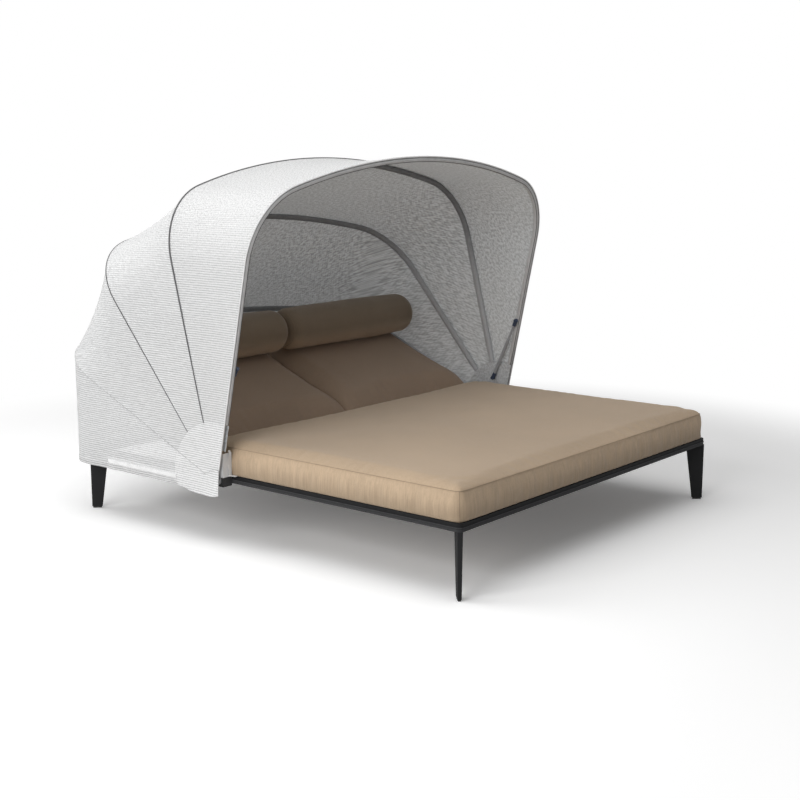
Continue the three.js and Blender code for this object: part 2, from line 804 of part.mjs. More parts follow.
// Cloth between an outer and an inner grid of points with the same rows and columns
function clothSolid(outer, inner) {
  const rows = outer.length;
  const columns = outer[0].length;
  const points = outer.flat().concat(inner.flat());
  const index = [];
  const at = (layer, i, j) => layer * rows * columns + i * columns + j;
  const quad = (a, b, c, d) => index.push(a, b, c, a, c, d);
  for (let i = 0; i + 1 < rows; i++) {
    for (let j = 0; j + 1 < columns; j++) {
      quad(at(0, i, j), at(0, i + 1, j), at(0, i + 1, j + 1), at(0, i, j + 1));
      quad(at(1, i, j), at(1, i, j + 1), at(1, i + 1, j + 1), at(1, i + 1, j));
    }
    quad(at(0, i, 0), at(1, i, 0), at(1, i + 1, 0), at(0, i + 1, 0));
    quad(at(0, i, columns - 1), at(0, i + 1, columns - 1), at(1, i + 1, columns - 1), at(1, i, columns - 1));
  }
  for (let j = 0; j + 1 < columns; j++) {
    quad(at(0, 0, j), at(0, 0, j + 1), at(1, 0, j + 1), at(1, 0, j));
    quad(at(0, rows - 1, j), at(1, rows - 1, j), at(1, rows - 1, j + 1), at(0, rows - 1, j + 1));
  }
  const geometry = new THREE.BufferGeometry().setFromPoints(points);
  geometry.setIndex(index);
  return geometry;
}

// A station of a bow at its lean, moved across the bow's plane by a shift, positive to the rear
function bowPoint(station, lean, shift) {
  const [x, r] = station;
  const y = r * Math.sin(lean) + shift * Math.cos(lean);
  const z = r * Math.cos(lean) - shift * Math.sin(lean);
  return corner(x, y, z);
}

// Cloth over a bow's tube: from the seam on the bow's plane round to where it leaves for its target.
// Side is 1 where it leaves to the rear and -1 where it leaves to the front.
function overTube(station, lean, side, target, offset) {
  const [, , nx, nr] = station;
  const outward = corner(nx, nr * Math.sin(lean), nr * Math.cos(lean));
  const away = corner(0, side * Math.cos(lean), -side * Math.sin(lean));
  const top = bowPoint(station, lean, (side * seatGap) / 2);
  const leave = target.clone().sub(top);
  const wrap = Math.max(0, Math.atan2(-leave.dot(outward), leave.dot(away)));
  const line = [top];
  for (let k = 1; k <= wrapSteps; k++) {
    const angle = (wrap * k) / wrapSteps;
    const point = top.clone().addScaledVector(outward, offset * (Math.cos(angle) - 1));
    line.push(point.addScaledVector(away, offset * Math.sin(angle) + k * wrapSpread));
  }
  return line;
}

// The cloth between two stations draws in a little midway
function stretched(station, from, to, middle, steps) {
  const [, r, nx, nr] = station;
  const inwards = corner(-nx, -nr * Math.sin(middle), -nr * Math.cos(middle));
  const line = [];
  for (let j = 1; j < steps; j++) {
    const t = j / steps;
    const depth = (clothSag * 4 * t * (1 - t) * r) / bowCrown;
    line.push(from.clone().lerp(to, t).addScaledVector(inwards, depth));
  }
  return line;
}

// A panel from the bow at its rear to the bow at its front, with a hem past the front one if it has a reach
function panelGrid(rear, front, hemReach, offset) {
  const rearStations = bowStations(rear.crown, offset, clothCap);
  const frontStations = bowStations(front.crown, offset, clothCap);
  return rearStations.map((station, i) => {
    const from = bowPoint(station, rear.lean, 0);
    const to = bowPoint(frontStations[i], front.lean, 0);
    const between = stretched(station, from, to, (rear.lean + front.lean) / 2, 4);
    const atRear = overTube(station, rear.lean, -1, between[0], offset);
    const atFront = overTube(frontStations[i], front.lean, 1, between[between.length - 1], offset);
    const hem = hemReach > 0 ? [bowPoint(frontStations[i], front.lean, -hemReach)] : [];
    return [...atRear, ...between, ...atFront.reverse(), ...hem];
  });
}

function panelGeometry(rear, front, hemReach) {
  return clothSolid(panelGrid(rear, front, hemReach, clothOuter), panelGrid(rear, front, hemReach, clothInner));
}

// The hem of the flap beside the pivot hangs lower than the rest of the skirt
function hemDrop(y) {
  const share = THREE.MathUtils.clamp((y - flapReach) / flapRamp, 0, 1);
  return THREE.MathUtils.lerp(flapHeight, hemHeight, share) - pivotZ;
}

function flareOut(y) {
  const share = THREE.MathUtils.clamp((flapFlareReach - skirtFront - y) / flapFlareReach, 0, 1);
  return flapFlare * share * share;
}

// A line of the skirt round the pivot: straight down from the cap's edge
function capLine(top, bottom) {
  const line = [top];
  for (let k = 1; k <= wrapSteps; k++) {
    line.push(top.clone().setZ(top.z - k * wrapSpread));
  }
  return line.concat([bottom]);
}

// The right half of the skirt, line by line from the front flap to the middle of the back
function skirtLines(offset) {
  const across = bowHalfWidth + offset;
  const lines = [];
  const cap = clothCap * Math.cos(bowStep / 2) - seatGap;
  const firstAngle = Math.asin(-skirtFront / cap);
  const capSteps = 6;
  const hem = (x, y) => corner(x + flareOut(y), y, hemDrop(y));
  for (let i = 0; i <= capSteps; i++) {
    const angle = THREE.MathUtils.lerp(firstAngle, rearLean, i / capSteps);
    const top = corner(across, cap * Math.sin(angle), cap * Math.cos(angle));
    lines.push(capLine(top, hem(across, top.y)));
  }
  const stations = bowStations(rearBowCrown, offset, clothCap);
  const half = (stations.length - 1) / 2;
  const legSteps = 8;
  const legEnd = stations[1][1];
  for (let i = 1; i < legSteps; i++) {
    const r = THREE.MathUtils.lerp(clothCap, legEnd, i / legSteps);
    const top = bowPoint([across, r], rearLean, seatGap / 2);
    const bottom = hem(across, top.y);
    lines.push([...overTube([across, r, 1, 0], rearLean, 1, bottom, offset), bottom]);
  }
  const cornerEnd = 7;
  const back = skirtBack - pivotY;
  const radius = skirtCorner - clothOuter + offset;
  const cornerX = bowHalfWidth + clothOuter - skirtCorner;
  for (let i = 1; i <= half; i++) {
    const angle = (Math.min(1, (i - 1) / (cornerEnd - 1)) * Math.PI) / 2;
    const along = Math.max(0, i - cornerEnd) / (half - cornerEnd);
    const x = THREE.MathUtils.lerp(cornerX, 0, along) + radius * Math.cos(angle);
    const y = back - skirtCorner + radius * Math.sin(angle);
    const bottom = corner(x, y, hemHeight - pivotZ);
    lines.push([...overTube(stations[i], rearLean, 1, bottom, offset), bottom]);
  }
  return lines;
}

function skirtGrid(offset) {
  const rows = 2;
  const right = skirtLines(offset);
  const flip = (p) => corner(-p.x, p.y, p.z);
  const left = right.slice(0, -1).reverse().map((line) => line.map(flip));
  return right.concat(left).map((line) => {
    const [bottom, last] = [line[line.length - 1], line[line.length - 2]];
    const column = [];
    for (let j = 0; j < rows; j++) {
      column.push(bottom.clone().lerp(last, j / rows));
    }
    return column.concat(line.slice(0, -1).reverse());
  });
}

// The bracket: a channel upright on the rail's outer face with a sloped open top
function bracketGeometry() {
  const inner = bedWidth / 2 + seatGap;
  const low = corner(inner, -bracketWidth / 2, bracketBottom);
  const body = block(low, corner(bracketOuter, bracketWidth / 2, bracketTop));
  const lipLow = corner(bedWidth / 2 - bracketLipReach, -bracketLipForward, railTop + seatGap);
  const lipHigh = corner(inner + bracketWall, bracketWidth / 2, railTop + seatGap + bracketLipThickness);
  const peg = rodAlongX(lockRadius, bracketOuter - bracketWall / 2, levelStart(0) + strapThickness, 0, 0, 14);
  peg.translate(0, 0, pivotZ + lockRise);
  const hollowLow = corner(inner + bracketWall, -bracketWidth / 2 + bracketWall, bracketBottom + bracketWall);
  const hollow = block(hollowLow, corner(bracketOuter - bracketWall, bracketWidth / 2 - bracketWall, bracketTop * 2));
  const slope = block(corner(-bracketDepth * 2, -bracketWidth * 2, 0), corner(bracketDepth * 2, bracketWidth * 2, bracketTop));
  slope.rotateX(-bracketSlope).translate((inner + bracketOuter) / 2, -bracketWidth / 2, bracketTop);
  const bore = rodAlongX(pivotRadius + seatGap, bracketOuter - 2 * bracketWall, bracketOuter + bracketWall, 0, pivotZ, 16);
  return cut(join([body, block(lipLow, lipHigh), peg]), [hollow, slope, bore]);
}

function pivotGeometry() {
  const stackEnd = levelStart(3) + strapThickness + seatGap;
  const nutStart = bracketOuter - bracketWall - seatGap - pivotNutThickness;
  return join([
    rodAlongX(pivotRadius, nutStart, stackEnd + pivotHeadThickness / 2, 0, pivotZ, 16),
    rodAlongX(pivotHeadRadius, stackEnd, stackEnd + pivotHeadThickness, 0, pivotZ, 20),
    rodAlongX(pivotNutRadius, nutStart, nutStart + pivotNutThickness, 0, pivotZ, 6),
  ]);
}

function addPivots(bed) {
  const bracket = bracketGeometry();
  const pivot = pivotGeometry();
  for (const [name, turned] of [["right", false], ["left", true]]) {
    const pieces = [
      [`canopy_bracket_${name}`, bracket, castAluminium],
      [`canopy_pivot_${name}`, pivot, bareSteel],
    ];
    for (const [node, geometry, material] of pieces) {
      add(bed, node, turned ? mirrorX(geometry) : geometry, material).position.y = pivotY;
    }
  }
}

// A left-hand copy: places mirrored in X and each triangle turned round
function mirrorX(geometry) {
  const copy = geometry.index ? geometry.clone() : mergeVertices(geometry);
  copy.scale(-1, 1, 1);
  const index = Array.from(copy.index.array);
  for (let i = 0; i < index.length; i += 3) {
    [index[i], index[i + 1]] = [index[i + 1], index[i]];
  }
  copy.setIndex(index);
  return copy;
}

// Struts: +Z runs from the lower end to the upper one, the lower end at the origin
const strutLength = Math.hypot(
  strutUpperReach * Math.sin(bowStep),
  strutUpperReach * Math.cos(bowStep) - strutLowerReach,
);
const strutLean = Math.atan2(
  strutUpperReach * Math.sin(bowStep),
  strutUpperReach * Math.cos(bowStep) - strutLowerReach,
);
const strutTubeTop = jointSeat + seatGap + strutLength * strutTubeShare;

function stripSlot(low, high) {
  const x = stripThickness / 2 + seatGap;
  const y = stripWidth / 2 + seatGap;
  return block(corner(strutAxis - x, -y, low), corner(strutAxis + x, y, high));
}

// A turned fitting: a disc on the lug, a knob on its inner side and a socket along the strut
function jointBody(z, socketLow, socketHigh) {
  const face = lugFace - seatGap;
  const back = face - jointThickness;
  return join([
    rodAlongX(jointRadius, back, face, 0, z, 18),
    rodAlongX(knobRadius, back - knobThickness, back + knobThickness / 2, 0, z, 12),
    rodAlongZ(jointSocketRadius, strutAxis, socketLow, socketHigh, 16),
  ]);
}

function lowerJoint() {
  const body = jointBody(0, jointSocketStart, jointSocketLength);
  const bore = rodAlongZ(strutTubeRadius + seatGap, strutAxis, jointSeat, 2 * jointSocketLength, 16);
  return cut(body, [bore]);
}

function upperJoint() {
  const body = jointBody(strutLength, strutLength - jointSocketLength, strutLength - jointSocketStart);
  return cut(body, [stripSlot(strutLength - 2 * jointSocketLength, strutLength - jointSeat)]);
}

function strutTube() {
  const tube = rodAlongZ(strutTubeRadius, strutAxis, jointSeat + seatGap, strutTubeTop, 16);
  return cut(tube, [stripSlot(strutTubeTop - stripTail - stripTravel, strutTubeTop + stripTail)]);
}

function strutStrip() {
  const x = stripThickness / 2;
  const low = corner(strutAxis - x, -stripWidth / 2, strutTubeTop - stripTail);
  const high = corner(strutAxis + x, stripWidth / 2, strutLength - jointSeat - seatGap);
  const first = strutTubeTop + stripWidth;
  const last = strutLength - jointSocketLength - stripWidth / 2;
  const holes = [];
  for (let i = 0; i < stripHoleCount; i++) {
    const z = THREE.MathUtils.lerp(first, last, i / (stripHoleCount - 1));
    holes.push(rodAlongX(stripHoleRadius, strutAxis - 2 * x, strutAxis + 2 * x, 0, z, 10));
  }
  return cut(block(low, high), holes);
}

function addStruts(secondBow) {
  const foot = new THREE.Group();
  foot.position.z = strutLowerReach;
  foot.rotation.x = strutLean;
  secondBow.add(foot);
  const pieces = [
    ["strut_lower_joint", lowerJoint(), navyPlastic],
    ["strut_tube", strutTube(), strutPaint],
    ["strut_strip", strutStrip(), strutPaint],
    ["strut_upper_joint", upperJoint(), navyPlastic],
  ];
  for (const [name, geometry, material] of pieces) {
    add(foot, `${name}_right`, geometry, material);
    add(foot, `${name}_left`, mirrorX(geometry), material);
  }
}

function addCanopy(bed) {
  const canopy = new THREE.Group();
  canopy.position.set(0, pivotY, pivotZ);
  bed.add(canopy);
  const leans = [0, 1, 2, 3].map((i) => rearLean - i * bowStep);
  const plates = onBothSides((side) => lockPlate(side, rearLean));
  const plateBores = onBothSides((side) => lockBore(side, rearLean));
  const bows = [
    ["rear_bow", bowGeometry(rearBowCrown, 0, plates, plateBores)],
    ["third_bow", bowGeometry(bowCrown, 1, [], [])],
    ["second_bow", bowGeometry(bowCrown, 2, lugs(strutLowerReach, levelStart(2) + strapThickness / 2), [])],
    ["front_bow", bowGeometry(bowCrown, 3, lugs(strutUpperReach, bowHalfWidth), [])],
  ];
  const placed = bows.map(([name, geometry], i) => {
    const bow = new THREE.Group();
    bow.rotation.x = -leans[i];
    canopy.add(bow);
    add(bow, name, geometry, bowAluminium);
    return bow;
  });
  addStruts(placed[2]);
  const seams = leans.map((lean, i) => ({ lean, crown: i === 0 ? rearBowCrown : bowCrown }));
  add(canopy, "canopy_panel_rear", panelGeometry(seams[0], seams[1], 0), canopyCloth);
  add(canopy, "canopy_panel_middle", panelGeometry(seams[1], seams[2], 0), canopyCloth);
  add(canopy, "canopy_panel_front", panelGeometry(seams[2], seams[3], frontHemReach), canopyCloth);
  add(canopy, "canopy_skirt", clothSolid(skirtGrid(clothOuter), skirtGrid(clothInner)), canopyCloth);
}

function buildDaybed() {
  const bed = new THREE.Group();
  addRails(bed);
  addLegs(bed);
  addSeatBase(bed);
  addHingeCrossbar(bed);
  addRacks(bed);
  addSeatCushion(bed);
  addBackrests(bed);
  addPivots(bed);
  addCanopy(bed);
  return bed;
}

// The origin is moved to the middle of the whole part's length, on the floor
const daybed = buildDaybed();
const reach = new THREE.Box3().setFromObject(daybed);
daybed.position.y = -(reach.min.y + reach.max.y) / 2;

export default daybed;
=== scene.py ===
import json
from math import acos, asin, atan2, copysign, cos, exp, hypot, pi, radians, sin, sqrt, tan

import bpy
import bmesh
from mathutils import Matrix, Vector, noise
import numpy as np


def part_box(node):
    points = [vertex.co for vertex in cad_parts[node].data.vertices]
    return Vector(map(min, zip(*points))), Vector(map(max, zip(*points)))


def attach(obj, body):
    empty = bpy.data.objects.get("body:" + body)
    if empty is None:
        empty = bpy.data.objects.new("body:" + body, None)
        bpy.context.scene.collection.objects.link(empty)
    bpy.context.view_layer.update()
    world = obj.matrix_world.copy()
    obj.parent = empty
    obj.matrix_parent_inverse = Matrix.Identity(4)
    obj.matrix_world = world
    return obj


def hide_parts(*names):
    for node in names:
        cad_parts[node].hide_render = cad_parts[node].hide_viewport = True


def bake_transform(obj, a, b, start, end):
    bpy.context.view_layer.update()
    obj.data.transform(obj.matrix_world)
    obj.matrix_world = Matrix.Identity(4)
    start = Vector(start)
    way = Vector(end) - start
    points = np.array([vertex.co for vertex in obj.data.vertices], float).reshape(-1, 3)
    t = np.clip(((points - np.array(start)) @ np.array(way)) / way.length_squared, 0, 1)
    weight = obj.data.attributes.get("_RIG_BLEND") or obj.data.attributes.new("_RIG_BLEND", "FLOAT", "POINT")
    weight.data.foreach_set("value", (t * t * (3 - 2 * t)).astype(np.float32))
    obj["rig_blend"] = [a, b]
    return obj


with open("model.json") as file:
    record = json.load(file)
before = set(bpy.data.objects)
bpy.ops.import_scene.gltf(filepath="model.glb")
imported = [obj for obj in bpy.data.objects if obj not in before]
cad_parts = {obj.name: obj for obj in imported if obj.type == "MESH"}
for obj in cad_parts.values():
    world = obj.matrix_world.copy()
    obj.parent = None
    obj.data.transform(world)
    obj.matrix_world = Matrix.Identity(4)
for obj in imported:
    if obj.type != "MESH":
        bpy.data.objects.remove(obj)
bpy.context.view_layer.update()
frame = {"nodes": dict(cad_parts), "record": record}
print("stage: frame loaded,", len(frame["nodes"]), "nodes")

pivot = Vector((0.0, 0.009573, 0.262))  # the middle of the bows' pivot axis

# the four bows from the rear to the front
bows = {
    "halfWidth": 0.96375,
    "crown": {"rear": 1.205, "third": 1.258, "second": 1.258, "front": 1.258},
    "body": {"rear": "frame", "third": "third_bow", "second": "second_bow", "front": "front_bow"},
    "cornerRadius": 0.290,
    "topRadius": 2.750,
    "rearLean": radians(66.3),
    "step": radians(26),
}
leanOf = {bow: bows["rearLean"] - k * bows["step"] for k, bow in enumerate(bows["crown"])}


def clamp(value):
    return min(1.0, max(0.0, value))


def fullTurn(count):
    # even angles once round
    return [2 * pi * k / count for k in range(count)]


def flip(columns, side=-1):
    return [[Vector((side * p.x, p.y, p.z)) for p in column] for column in columns]


def bothSides(columns):
    # adds the left half to the right one, which ends in the middle of the back
    return columns + flip(columns[-2::-1])


def startClean():
    if bpy.context.object and bpy.context.object.mode != "OBJECT":
        bpy.ops.object.mode_set(mode="OBJECT")
    bpy.ops.object.select_all(action="DESELECT")


def makeActive(piece):
    startClean()
    piece.select_set(True)
    bpy.context.view_layer.objects.active = piece


def editWhole(piece, edit):
    # one edit that starts with all of the mesh selected
    makeActive(piece)
    bpy.ops.object.mode_set(mode="EDIT")
    bpy.ops.mesh.select_all(action="SELECT")
    edit()
    bpy.ops.object.mode_set(mode="OBJECT")


def modify(piece, kind, **settings):
    # adds a modifier, sets it and applies it
    modifier = piece.modifiers.new(kind.lower(), kind)
    for key, value in settings.items():
        setattr(modifier, key, value)
    makeActive(piece)
    bpy.ops.object.modifier_apply(modifier=modifier.name)


def addObject(name, data):
    piece = bpy.data.objects.new(name, data)
    bpy.context.scene.collection.objects.link(piece)
    return piece


def fromGrid(name, rows, coords, closed=False):
    # a sheet of quads from rows of points; coords holds the flat place of each point in metres
    count = len(rows[0])
    faces = []
    for start in range(0, (len(rows) - 1) * count, count):
        for j in range(count if closed else count - 1):
            k = (j + 1) % count
            faces.append((start + j, start + k, start + count + k, start + count + j))
    mesh = bpy.data.meshes.new(name)
    mesh.from_pydata([tuple(p) for row in rows for p in row], [], faces)
    flat = [place for row in coords for place in row]
    layer = mesh.uv_layers.new(name="weave")
    for loop in mesh.loops:
        layer.data[loop.index].uv = flat[loop.vertex_index]
    mesh.update()
    return addObject(name, mesh)


def evenCoords(rows, across, along):
    return [[(k * across, i * along) for k in range(len(rows[0]))] for i in range(len(rows))]


def mark(piece, label, values):
    # a number on each point, which the finish reads
    piece.data.attributes.new(label, "FLOAT", "POINT").data.foreach_set("value", values)


def faceAwayFrom(piece, centre):
    # turns the sheet so that its faces look away from a point
    work = bmesh.new()
    work.from_mesh(piece.data)
    total = sum((f.normal.dot(f.calc_center_median() - centre)) * f.calc_area() for f in work.faces)
    if total < 0:
        bmesh.ops.reverse_faces(work, faces=work.faces)
    work.to_mesh(piece.data)
    work.free()


def smooth(piece, angle):
    makeActive(piece)
    bpy.ops.object.shade_smooth_by_angle(angle=radians(angle))


def giveMaterials(piece, *finishes):
    piece.data.materials.clear()
    for finish in finishes:
        piece.data.materials.append(finish)


def thicken(piece, thickness, inward=True):
    # a second finish goes to the inner skin
    offset = -1 if inward else 1
    inner = max(0, len(piece.data.materials) - 1)
    modify(piece, "SOLIDIFY", thickness=thickness, offset=offset, use_rim=True, material_offset=inner)


def refine(piece):
    modify(piece, "SUBSURF", levels=1, render_levels=1)


def dress(piece, body, finish):
    giveMaterials(piece, finish)
    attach(piece, body)
    return piece


def finishSheet(piece, away, thickness, *finishes, inward=True):
    faceAwayFrom(piece, away)
    giveMaterials(piece, *finishes)
    thicken(piece, thickness, inward)
    smooth(piece, 50)
    return piece


def cordAlong(name, points, radius, closed=False, sides=3, shares=None):
    line = bpy.data.curves.new(name, "CURVE")
    line.dimensions = "3D"
    line.bevel_depth = radius
    line.bevel_resolution = sides
    line.use_fill_caps = not closed
    spline = line.splines.new("POLY")
    spline.points.add(len(points) - 1)
    for i, p in enumerate(points):
        spline.points[i].co = (*p, 1)
        spline.points[i].radius = shares[i] if shares else 1.0
    spline.use_cyclic_u = closed
    makeActive(addObject(name, line))
    bpy.ops.object.convert(target="MESH")
    piece = bpy.context.object
    smooth(piece, 60)
    return piece


class Wire:
    # a socket that can be written in sums and products
    def __init__(self, board, socket):
        self.board = board
        self.socket = socket

    def __add__(self, other):
        return self.board.maths("ADD", self, other)

    def __sub__(self, other):
        return self.board.maths("SUBTRACT", self, other)

    def __mul__(self, other):
        return self.board.maths("MULTIPLY", self, other)

    def __rsub__(self, other):
        return self.board.maths("SUBTRACT", other, self)

    __radd__ = __add__
    __rmul__ = __mul__


class Board:
    # a node tree to which nodes are added with their settings and values
    def __init__(self, tree):
        self.tree = tree

    def add(self, kind, settings=None, values=None, out=0):
        node = self.tree.nodes.new(kind)
        for key, value in (settings or {}).items():
            setattr(node, key, value)
        for key, value in (values or {}).items():
            if isinstance(value, Wire):
                self.tree.links.new(value.socket, node.inputs[key])
            else:
                node.inputs[key].default_value = value
        return Wire(self, node.outputs[out]) if len(node.outputs) else None

    def maths(self, operation, a, b=0.0):
        return self.add("ShaderNodeMath", {"operation": operation}, {0: a, 1: b})

    def sine(self, a):
        return self.maths("SINE", a)

    def step(self, value, low, high):
        # 0 below low and 1 above high, smooth between
        values = {"Value": value, "From Min": low, "From Max": high}
        return self.add("ShaderNodeMapRange", {"interpolation_type": "SMOOTHSTEP"}, values)

    def place(self, source="Object"):
        return self.add("ShaderNodeTexCoord", out=source)

    def attribute(self, label):
        return self.add("ShaderNodeAttribute", {"attribute_name": label}, out=2)

    def parts(self, vector):
        split = self.add("ShaderNodeSeparateXYZ", None, {0: vector})
        return [Wire(self, socket) for socket in split.socket.node.outputs]

    def gather(self, x, y):
        return self.add("ShaderNodeCombineXYZ", None, {0: x, 1: y, 2: 0.0})

    def stretch(self, vector, scale):
        return self.add("ShaderNodeMapping", None, {"Vector": vector, "Scale": scale})

    def cloudy(self, vector, scale, detail=2.0, rough=0.5):
        values = {"Vector": vector, "Scale": scale, "Detail": detail, "Roughness": rough}
        return self.add("ShaderNodeTexNoise", None, values)

    def blendColors(self, share, a, b):
        a, b = [(*color, 1) if isinstance(color, tuple) else color for color in (a, b)]
        return self.add("ShaderNodeMix", {"data_type": "RGBA"}, {0: share, 6: a, 7: b}, out=2)

    def crossWeave(self, spot, pitch):
        x, y, z = self.parts(spot)
        turn = 2 * pi / pitch
        return (self.sine((x + y) * turn) * self.sine((z - y * 0.4) * turn)) * 0.5 + 0.5

    def seenRays(self):
        # 1 for what the camera sees, also in gloss and through glass
        rays = ("Camera", "Glossy", "Transmission")
        seen = [self.add("ShaderNodeLightPath", out=f"Is {ray} Ray") for ray in rays]
        return self.maths("MAXIMUM", self.maths("MAXIMUM", seen[0], seen[1]), seen[2])


class Finish(Board):
    def __init__(self, name, color, roughness, metallic=0.0, **fixed):
        self.material = bpy.data.materials.new(name)
        self.material.use_nodes = True
        super().__init__(self.material.node_tree)
        self.color = color
        self.shader = self.tree.nodes["Principled BSDF"]
        values = {"Base_Color": (*color, 1), "Roughness": roughness, "Metallic": metallic, **fixed}
        for socket, value in values.items():
            self.shader.inputs[socket.replace("_", " ")].default_value = value

    def tone(self, share, dark, light):
        # the finish's own colour, darker where share is 0 and lighter where it is 1
        low = tuple(c * dark for c in self.color)
        high = tuple(min(1.0, c * light) for c in self.color)
        return self.blendColors(share, low, high)

    def plug(self, socket, wire):
        self.tree.links.new(wire.socket, self.shader.inputs[socket])

    def done(self, color, roughness, height, depth, strength):
        # the finish's closing step: colour, roughness where it changes, and relief
        self.plug("Base Color", color)
        if roughness:
            self.plug("Roughness", roughness)
        relief = {"Height": height, "Distance": depth, "Strength": strength}
        self.plug("Normal", self.add("ShaderNodeBump", None, relief))
        return self.material


coatLook = {"railLow": 0.2465, "faceTop": 0.2560, "lipStart": 0.2590, "lipLow": 0.2595, "lipHigh": 0.2630}


def powderCoat(name, color):
    # painted light: the rails' lip carries a painted highlight line, the face below it is painted paler as
    # lit, the legs less so, and the top band above the lip stays darker as shaded
    f = Finish(name, color, 0.6, Specular_IOR_Level=0.06)
    spot = f.place()
    z = f.parts(spot)[2]
    fine = f.cloudy(spot, 1400)
    broad = f.cloudy(spot, 9, 3.0)
    leg = 1 - f.step(z, coatLook["railLow"], coatLook["railLow"] + 0.001)
    face = (1 - leg) * (1 - f.step(z, coatLook["faceTop"], coatLook["lipStart"]))
    above = f.step(z, coatLook["lipHigh"], coatLook["lipHigh"] + 0.0005)
    lip = f.step(z, coatLook["lipStart"], coatLook["lipLow"]) * (1 - above)
    # the noise is the coat's own grain; leg, face and lip add painted light by height
    grainAndPaintedLight = (broad * 0.7 + fine * 0.3) * 0.2 + leg * 0.12 + face * 0.5 + lip * 0.62
    return f.done(f.tone(grainAndPaintedLight, 0.5, 2.6), 0.50 + broad * 0.14 + fine * 0.08, fine, 0.00012, 0.6)


def brushedMetal(name, color, roughness):
    f = Finish(name, color, roughness, 0.9)
    spot = f.place()
    lines = f.cloudy(f.stretch(spot, (300, 300, 9)), 3.0, 3.0, 0.6)
    smudge = f.cloudy(spot, 14)
    rough = roughness - 0.09 + lines * 0.12 + smudge * 0.1
    return f.done(f.tone(lines * 0.6 + smudge * 0.4, 0.8, 1.15), rough, lines, 0.00008, 0.5)


def satinMetal(name, color, roughness, metallic):
    f = Finish(name, color, roughness, metallic)
    fine, broad = f.cloudy(f.place(), 900), f.cloudy(f.place(), 20, 3.0)
    tone = f.tone(broad * 0.8 + fine * 0.2, 0.86, 1.1)
    return f.done(tone, roughness - 0.06 + broad * 0.12, fine, 0.0001, 0.5)


def dippedMetal(name, color, height):
    # satin above a height, and the rails' black coat below it
    f = Finish(name, color, 0.45)
    spot = f.place()
    fine, broad = f.cloudy(spot, 900), f.cloudy(spot, 20, 3.0)
    above = f.step(f.parts(spot)[2] + broad * 0.0004, height, height + 0.0008)
    black = f.blendColors(fine, (0.022, 0.022, 0.023), (0.030, 0.030, 0.031))
    tone = f.blendColors(above, black, f.tone(broad * 0.8 + fine * 0.2, 0.86, 1.08))
    return f.done(tone, 0.56 - above * 0.14 + broad * 0.1, fine, 0.0001, 0.5)


def mouldedPlastic(name, color, roughness):
    f = Finish(name, color, roughness)
    spot = f.place()
    leather = f.add("ShaderNodeTexVoronoi", None, {"Vector": spot, "Scale": 1500})
    broad = f.cloudy(spot, 60)
    return f.done(f.tone(broad, 0.8, 1.25), roughness + broad * 0.12, leather, 0.00006, 0.6)


meshLook = {
    "rib": 0.0090,  # pitch of the ribs
    "thread": 0.0098,
    "dash": 42,  # breaks in a rib, in one metre
    "patch": 0.235,  # radius of the second layer round each pivot
    "seam": ((0.011, 0.009), (0.007, 0.005)),  # its seam's edges, inside that radius
    "outer": (0.80, 0.80, 0.80),
    "inner": (0.915, 0.945, 0.955),
    "patchColor": (0.87, 0.90, 0.93),
}


def ribbedMesh(name, color, ribbed, size, dark, light, gaps, cover):
    # knitted shade mesh: level ribs broken into dashes, knots between them, and small open gaps
    f = Finish(name, color, 0.86, Sheen_Weight=0.1)
    along, across, _ = f.parts(f.place("UV"))
    crown = f.attribute("crown")
    wobble = f.cloudy(f.gather(along * 9, across * 20), 1.0)
    rib = f.sine(across * (2 * pi / meshLook["rib"]) + wobble * 2.2) * 0.5 + 0.5
    dash = f.cloudy(f.gather(along * meshLook["dash"], across * 115), 1.0, 2.0, 0.6)
    grain = f.cloudy(f.gather(along * (size * 1.15), across * size), 1.0, 2.0, 0.7)
    slow = f.cloudy(f.gather(along * 4, across * 4), 1.0, 3.0)
    clear = ribbed * (1 - crown * 0.8)  # the ribs fade where the cloth lies flat over the top
    knit = f.step(dash * 0.5 + rib * 0.5, 0.36, 0.56)
    turn = 2 * pi / meshLook["thread"]
    threads = f.sine(along * turn) * f.sine(across * turn)
    knots = f.step(grain * 0.88 + threads * 0.045 + 0.06, 0.34, 0.62)
    body = knit * clear + knots * (1 - clear)
    _, y, z = f.parts(f.place())
    y, z = y - pivot.y, z - pivot.z
    reach = f.maths("SQRT", y * y + z * z)
    edge = meshLook["patch"]
    patch = 1 - f.step(reach, edge - 0.002, edge)
    rise, fall = [f.step(reach, edge - a, edge - b) for a, b in meshLook["seam"]]
    # the crown term is painted light: the outer cloth over the top is painted paler, as lit from above
    shade = body * 0.70 + slow * 0.14 + 0.03 + crown * ribbed * 0.34 - rise * (1 - fall) * 0.05
    hides = body * gaps + (cover - gaps * 0.55) + patch * 0.16
    f.plug("Alpha", f.maths("MINIMUM", hides, 1.0))
    height = rib * clear * 0.8 + grain * 0.5 + dash * clear * 0.3 + patch * 0.3
    return f.done(f.tone(shade, dark, light), None, height, 0.0008, 0.8)


def sewnTape(name, color, pitch=0.0016):
    # close woven tape for piping, hems and threads
    f = Finish(name, color, 0.82, Sheen_Weight=0.1)
    weave = f.crossWeave(f.place(), pitch)
    broad = f.cloudy(f.place(), 30, 3.0)
    return f.done(f.tone(weave * 0.35 + broad * 0.65, 0.74, 1.25), 0.74 + broad * 0.16, weave, 0.0003, 0.7)


def sleeveTape(name, color, top, low, lift):
    # the bows' sleeves: close cloth with painted shade over the top and painted light down the legs, which
    # are paler
    f = Finish(name, color, 0.84, Sheen_Weight=0.1)
    weave = f.crossWeave(f.place(), 0.0030)
    broad = f.cloudy(f.place(), 60, 3.0)
    paintedLitLegs = 1 - f.step(f.parts(f.place())[2], low, top)
    share = (weave * 0.4 + broad * 0.6) * 0.35 + paintedLitLegs * 0.65
    return f.done(f.tone(share, 0.85, lift), 0.76 + broad * 0.14, weave, 0.0004, 0.8)


